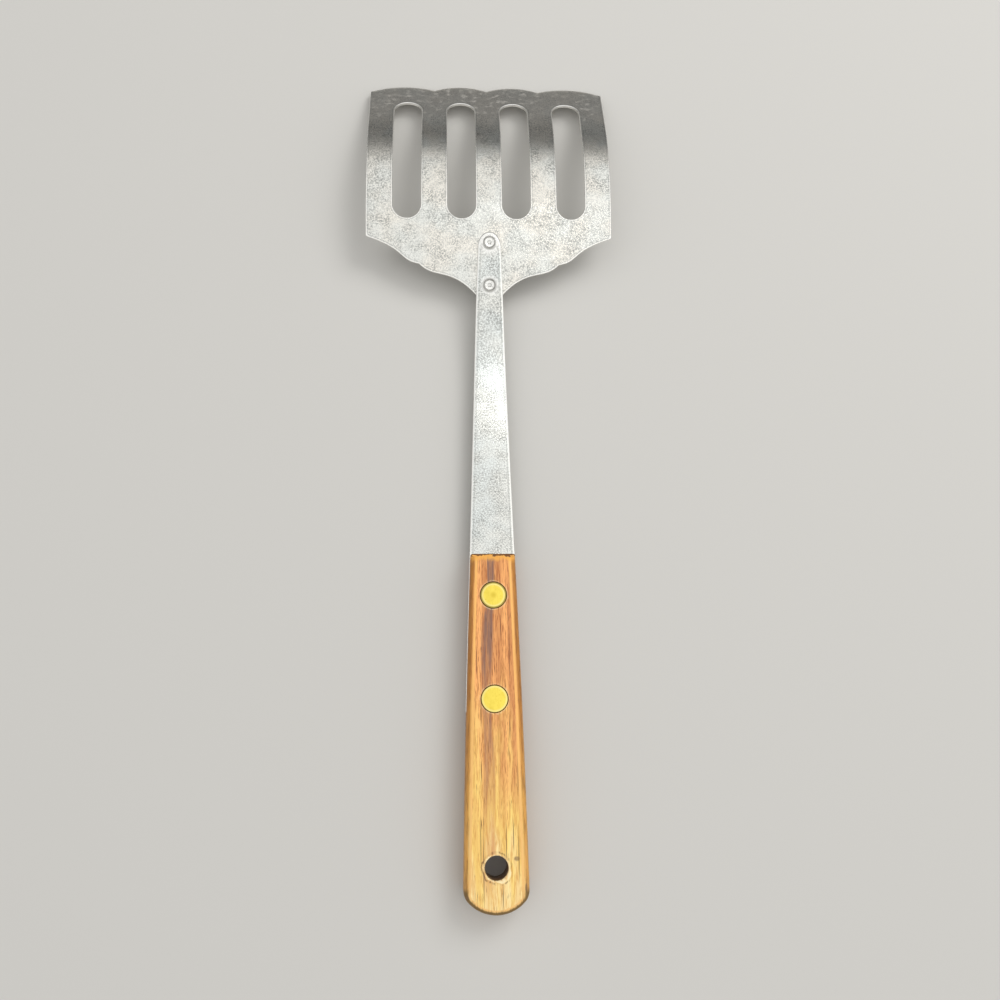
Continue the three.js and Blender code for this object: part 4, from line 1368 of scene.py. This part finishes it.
class SPATULA_OT_stage(bpy.types.Operator):
    """Lay the floor, light it softly and set the camera"""

    bl_idname = "spatula.stage"
    bl_label = "Stage"

    def execute(self, context):
        scene = context.scene
        stage = scene.spatula.stage
        scene.view_settings.view_transform = "Standard"
        self.lay_floor(stage)
        self.light_world(stage)
        key = (stage.key_size, stage.key_size)
        lamp = self.hang_lamp("key_lamp", stage.key_place, key, stage.key_power)
        lamp.visible_glossy = False  # the steel mirrors the accent lamp alone
        accent = (stage.accent_length, stage.accent_width)
        self.hang_lamp("accent_lamp", stage.accent_place, accent, stage.accent_power)
        lens = bpy.data.cameras.new("camera")
        lens.sensor_width = SENSOR_WIDTH
        lens.lens = stage.lens
        camera = new_object("camera", lens)
        camera.location = stage.camera_place
        camera.rotation_mode = "ZYX"
        camera.rotation_euler = stage.camera_turn
        scene.camera = camera
        return {"FINISHED"}

    def lay_floor(self, stage):
        half = stage.floor_size / 2
        corners = [(-half, -half, 0), (half, -half, 0), (half, half, 0), (-half, half, 0)]
        floor = new_object("floor", new_mesh("floor", corners, [(0, 1, 2, 3)]))
        floor.location.z = -FLOOR_GAP
        material, add = start_material("matt painted board")
        add(RESULT, add(SURFACE, base_color=stage.floor, roughness=0.9))
        floor.data.materials.append(material)

    def light_world(self, stage):
        """Bright overhead, more so on the right, dimmer at the horizon and dark low down ahead."""
        world = bpy.data.worlds.new("studio")
        bpy.context.scene.world = world
        world.use_nodes = True
        world.node_tree.nodes.clear()
        add = adder(world.node_tree)
        side, ahead, height = add(PARTS, add(COORDINATES).outputs["Generated"]).outputs
        above = add(STEP, side, -0.05, 0.3, stage.overhead, stage.overhead_right)
        sky = add(STEP, height, 0.1, 0.8, stage.horizon, above)
        low_ahead = add(TIMES, add(STEP, height, 0.8, 0.46), add(STEP, ahead, 0.2, 0.65))
        strength = add(STEP, low_ahead, 0.0, 1.0, sky, stage.ahead)
        light = add(("ShaderNodeBackground", {}), linear("#FFFFFF"), strength)
        add(("ShaderNodeOutputWorld", {}), light)

    def hang_lamp(self, name, location, sides, power):
        light = bpy.data.lights.new(name, "AREA")
        light.shape = "RECTANGLE"
        light.size, light.size_y = sides
        light.energy = power
        lamp = new_object(name, light)
        lamp.location = location
        lamp.rotation_euler = lamp.location.to_track_quat("Z", "Y").to_euler()
        return lamp


class SPATULA_PT_panel(bpy.types.Panel):
    """Lists the spatula's pieces and its stage"""

    bl_idname = "SPATULA_PT_panel"
    bl_label = "Slotted spatula"
    bl_space_type = "VIEW_3D"
    bl_region_type = "UI"
    bl_category = "Spatula"

    def draw(self, context):
        for operator in OPERATORS:
            self.layout.operator(operator.bl_idname)


OPERATORS = (
    SPATULA_OT_stage,
    SPATULA_OT_blade,
    SPATULA_OT_shank,
    SPATULA_OT_handle,
    SPATULA_OT_blade_rivets,
    SPATULA_OT_handle_rivets,
)
CLASSES = (
    SPATULA_blade_sizes,
    SPATULA_shank_sizes,
    SPATULA_handle_sizes,
    SPATULA_rivet_sizes,
    SPATULA_finishes,
    SPATULA_stage_settings,
    SPATULA_settings,
    *OPERATORS,
    SPATULA_PT_panel,
)


def register():
    for made in CLASSES:
        bpy.utils.register_class(made)
    bpy.types.Scene.spatula = PointerProperty(type=SPATULA_settings)


def unregister():
    del bpy.types.Scene.spatula
    for made in reversed(CLASSES):
        bpy.utils.unregister_class(made)


def main():
    register()
    bpy.ops.spatula.stage()
    bpy.ops.spatula.blade()
    bpy.ops.spatula.shank()
    bpy.ops.spatula.handle()
    bpy.ops.spatula.blade_rivets()
    bpy.ops.spatula.handle_rivets()


if __name__ == "__main__":
    main()
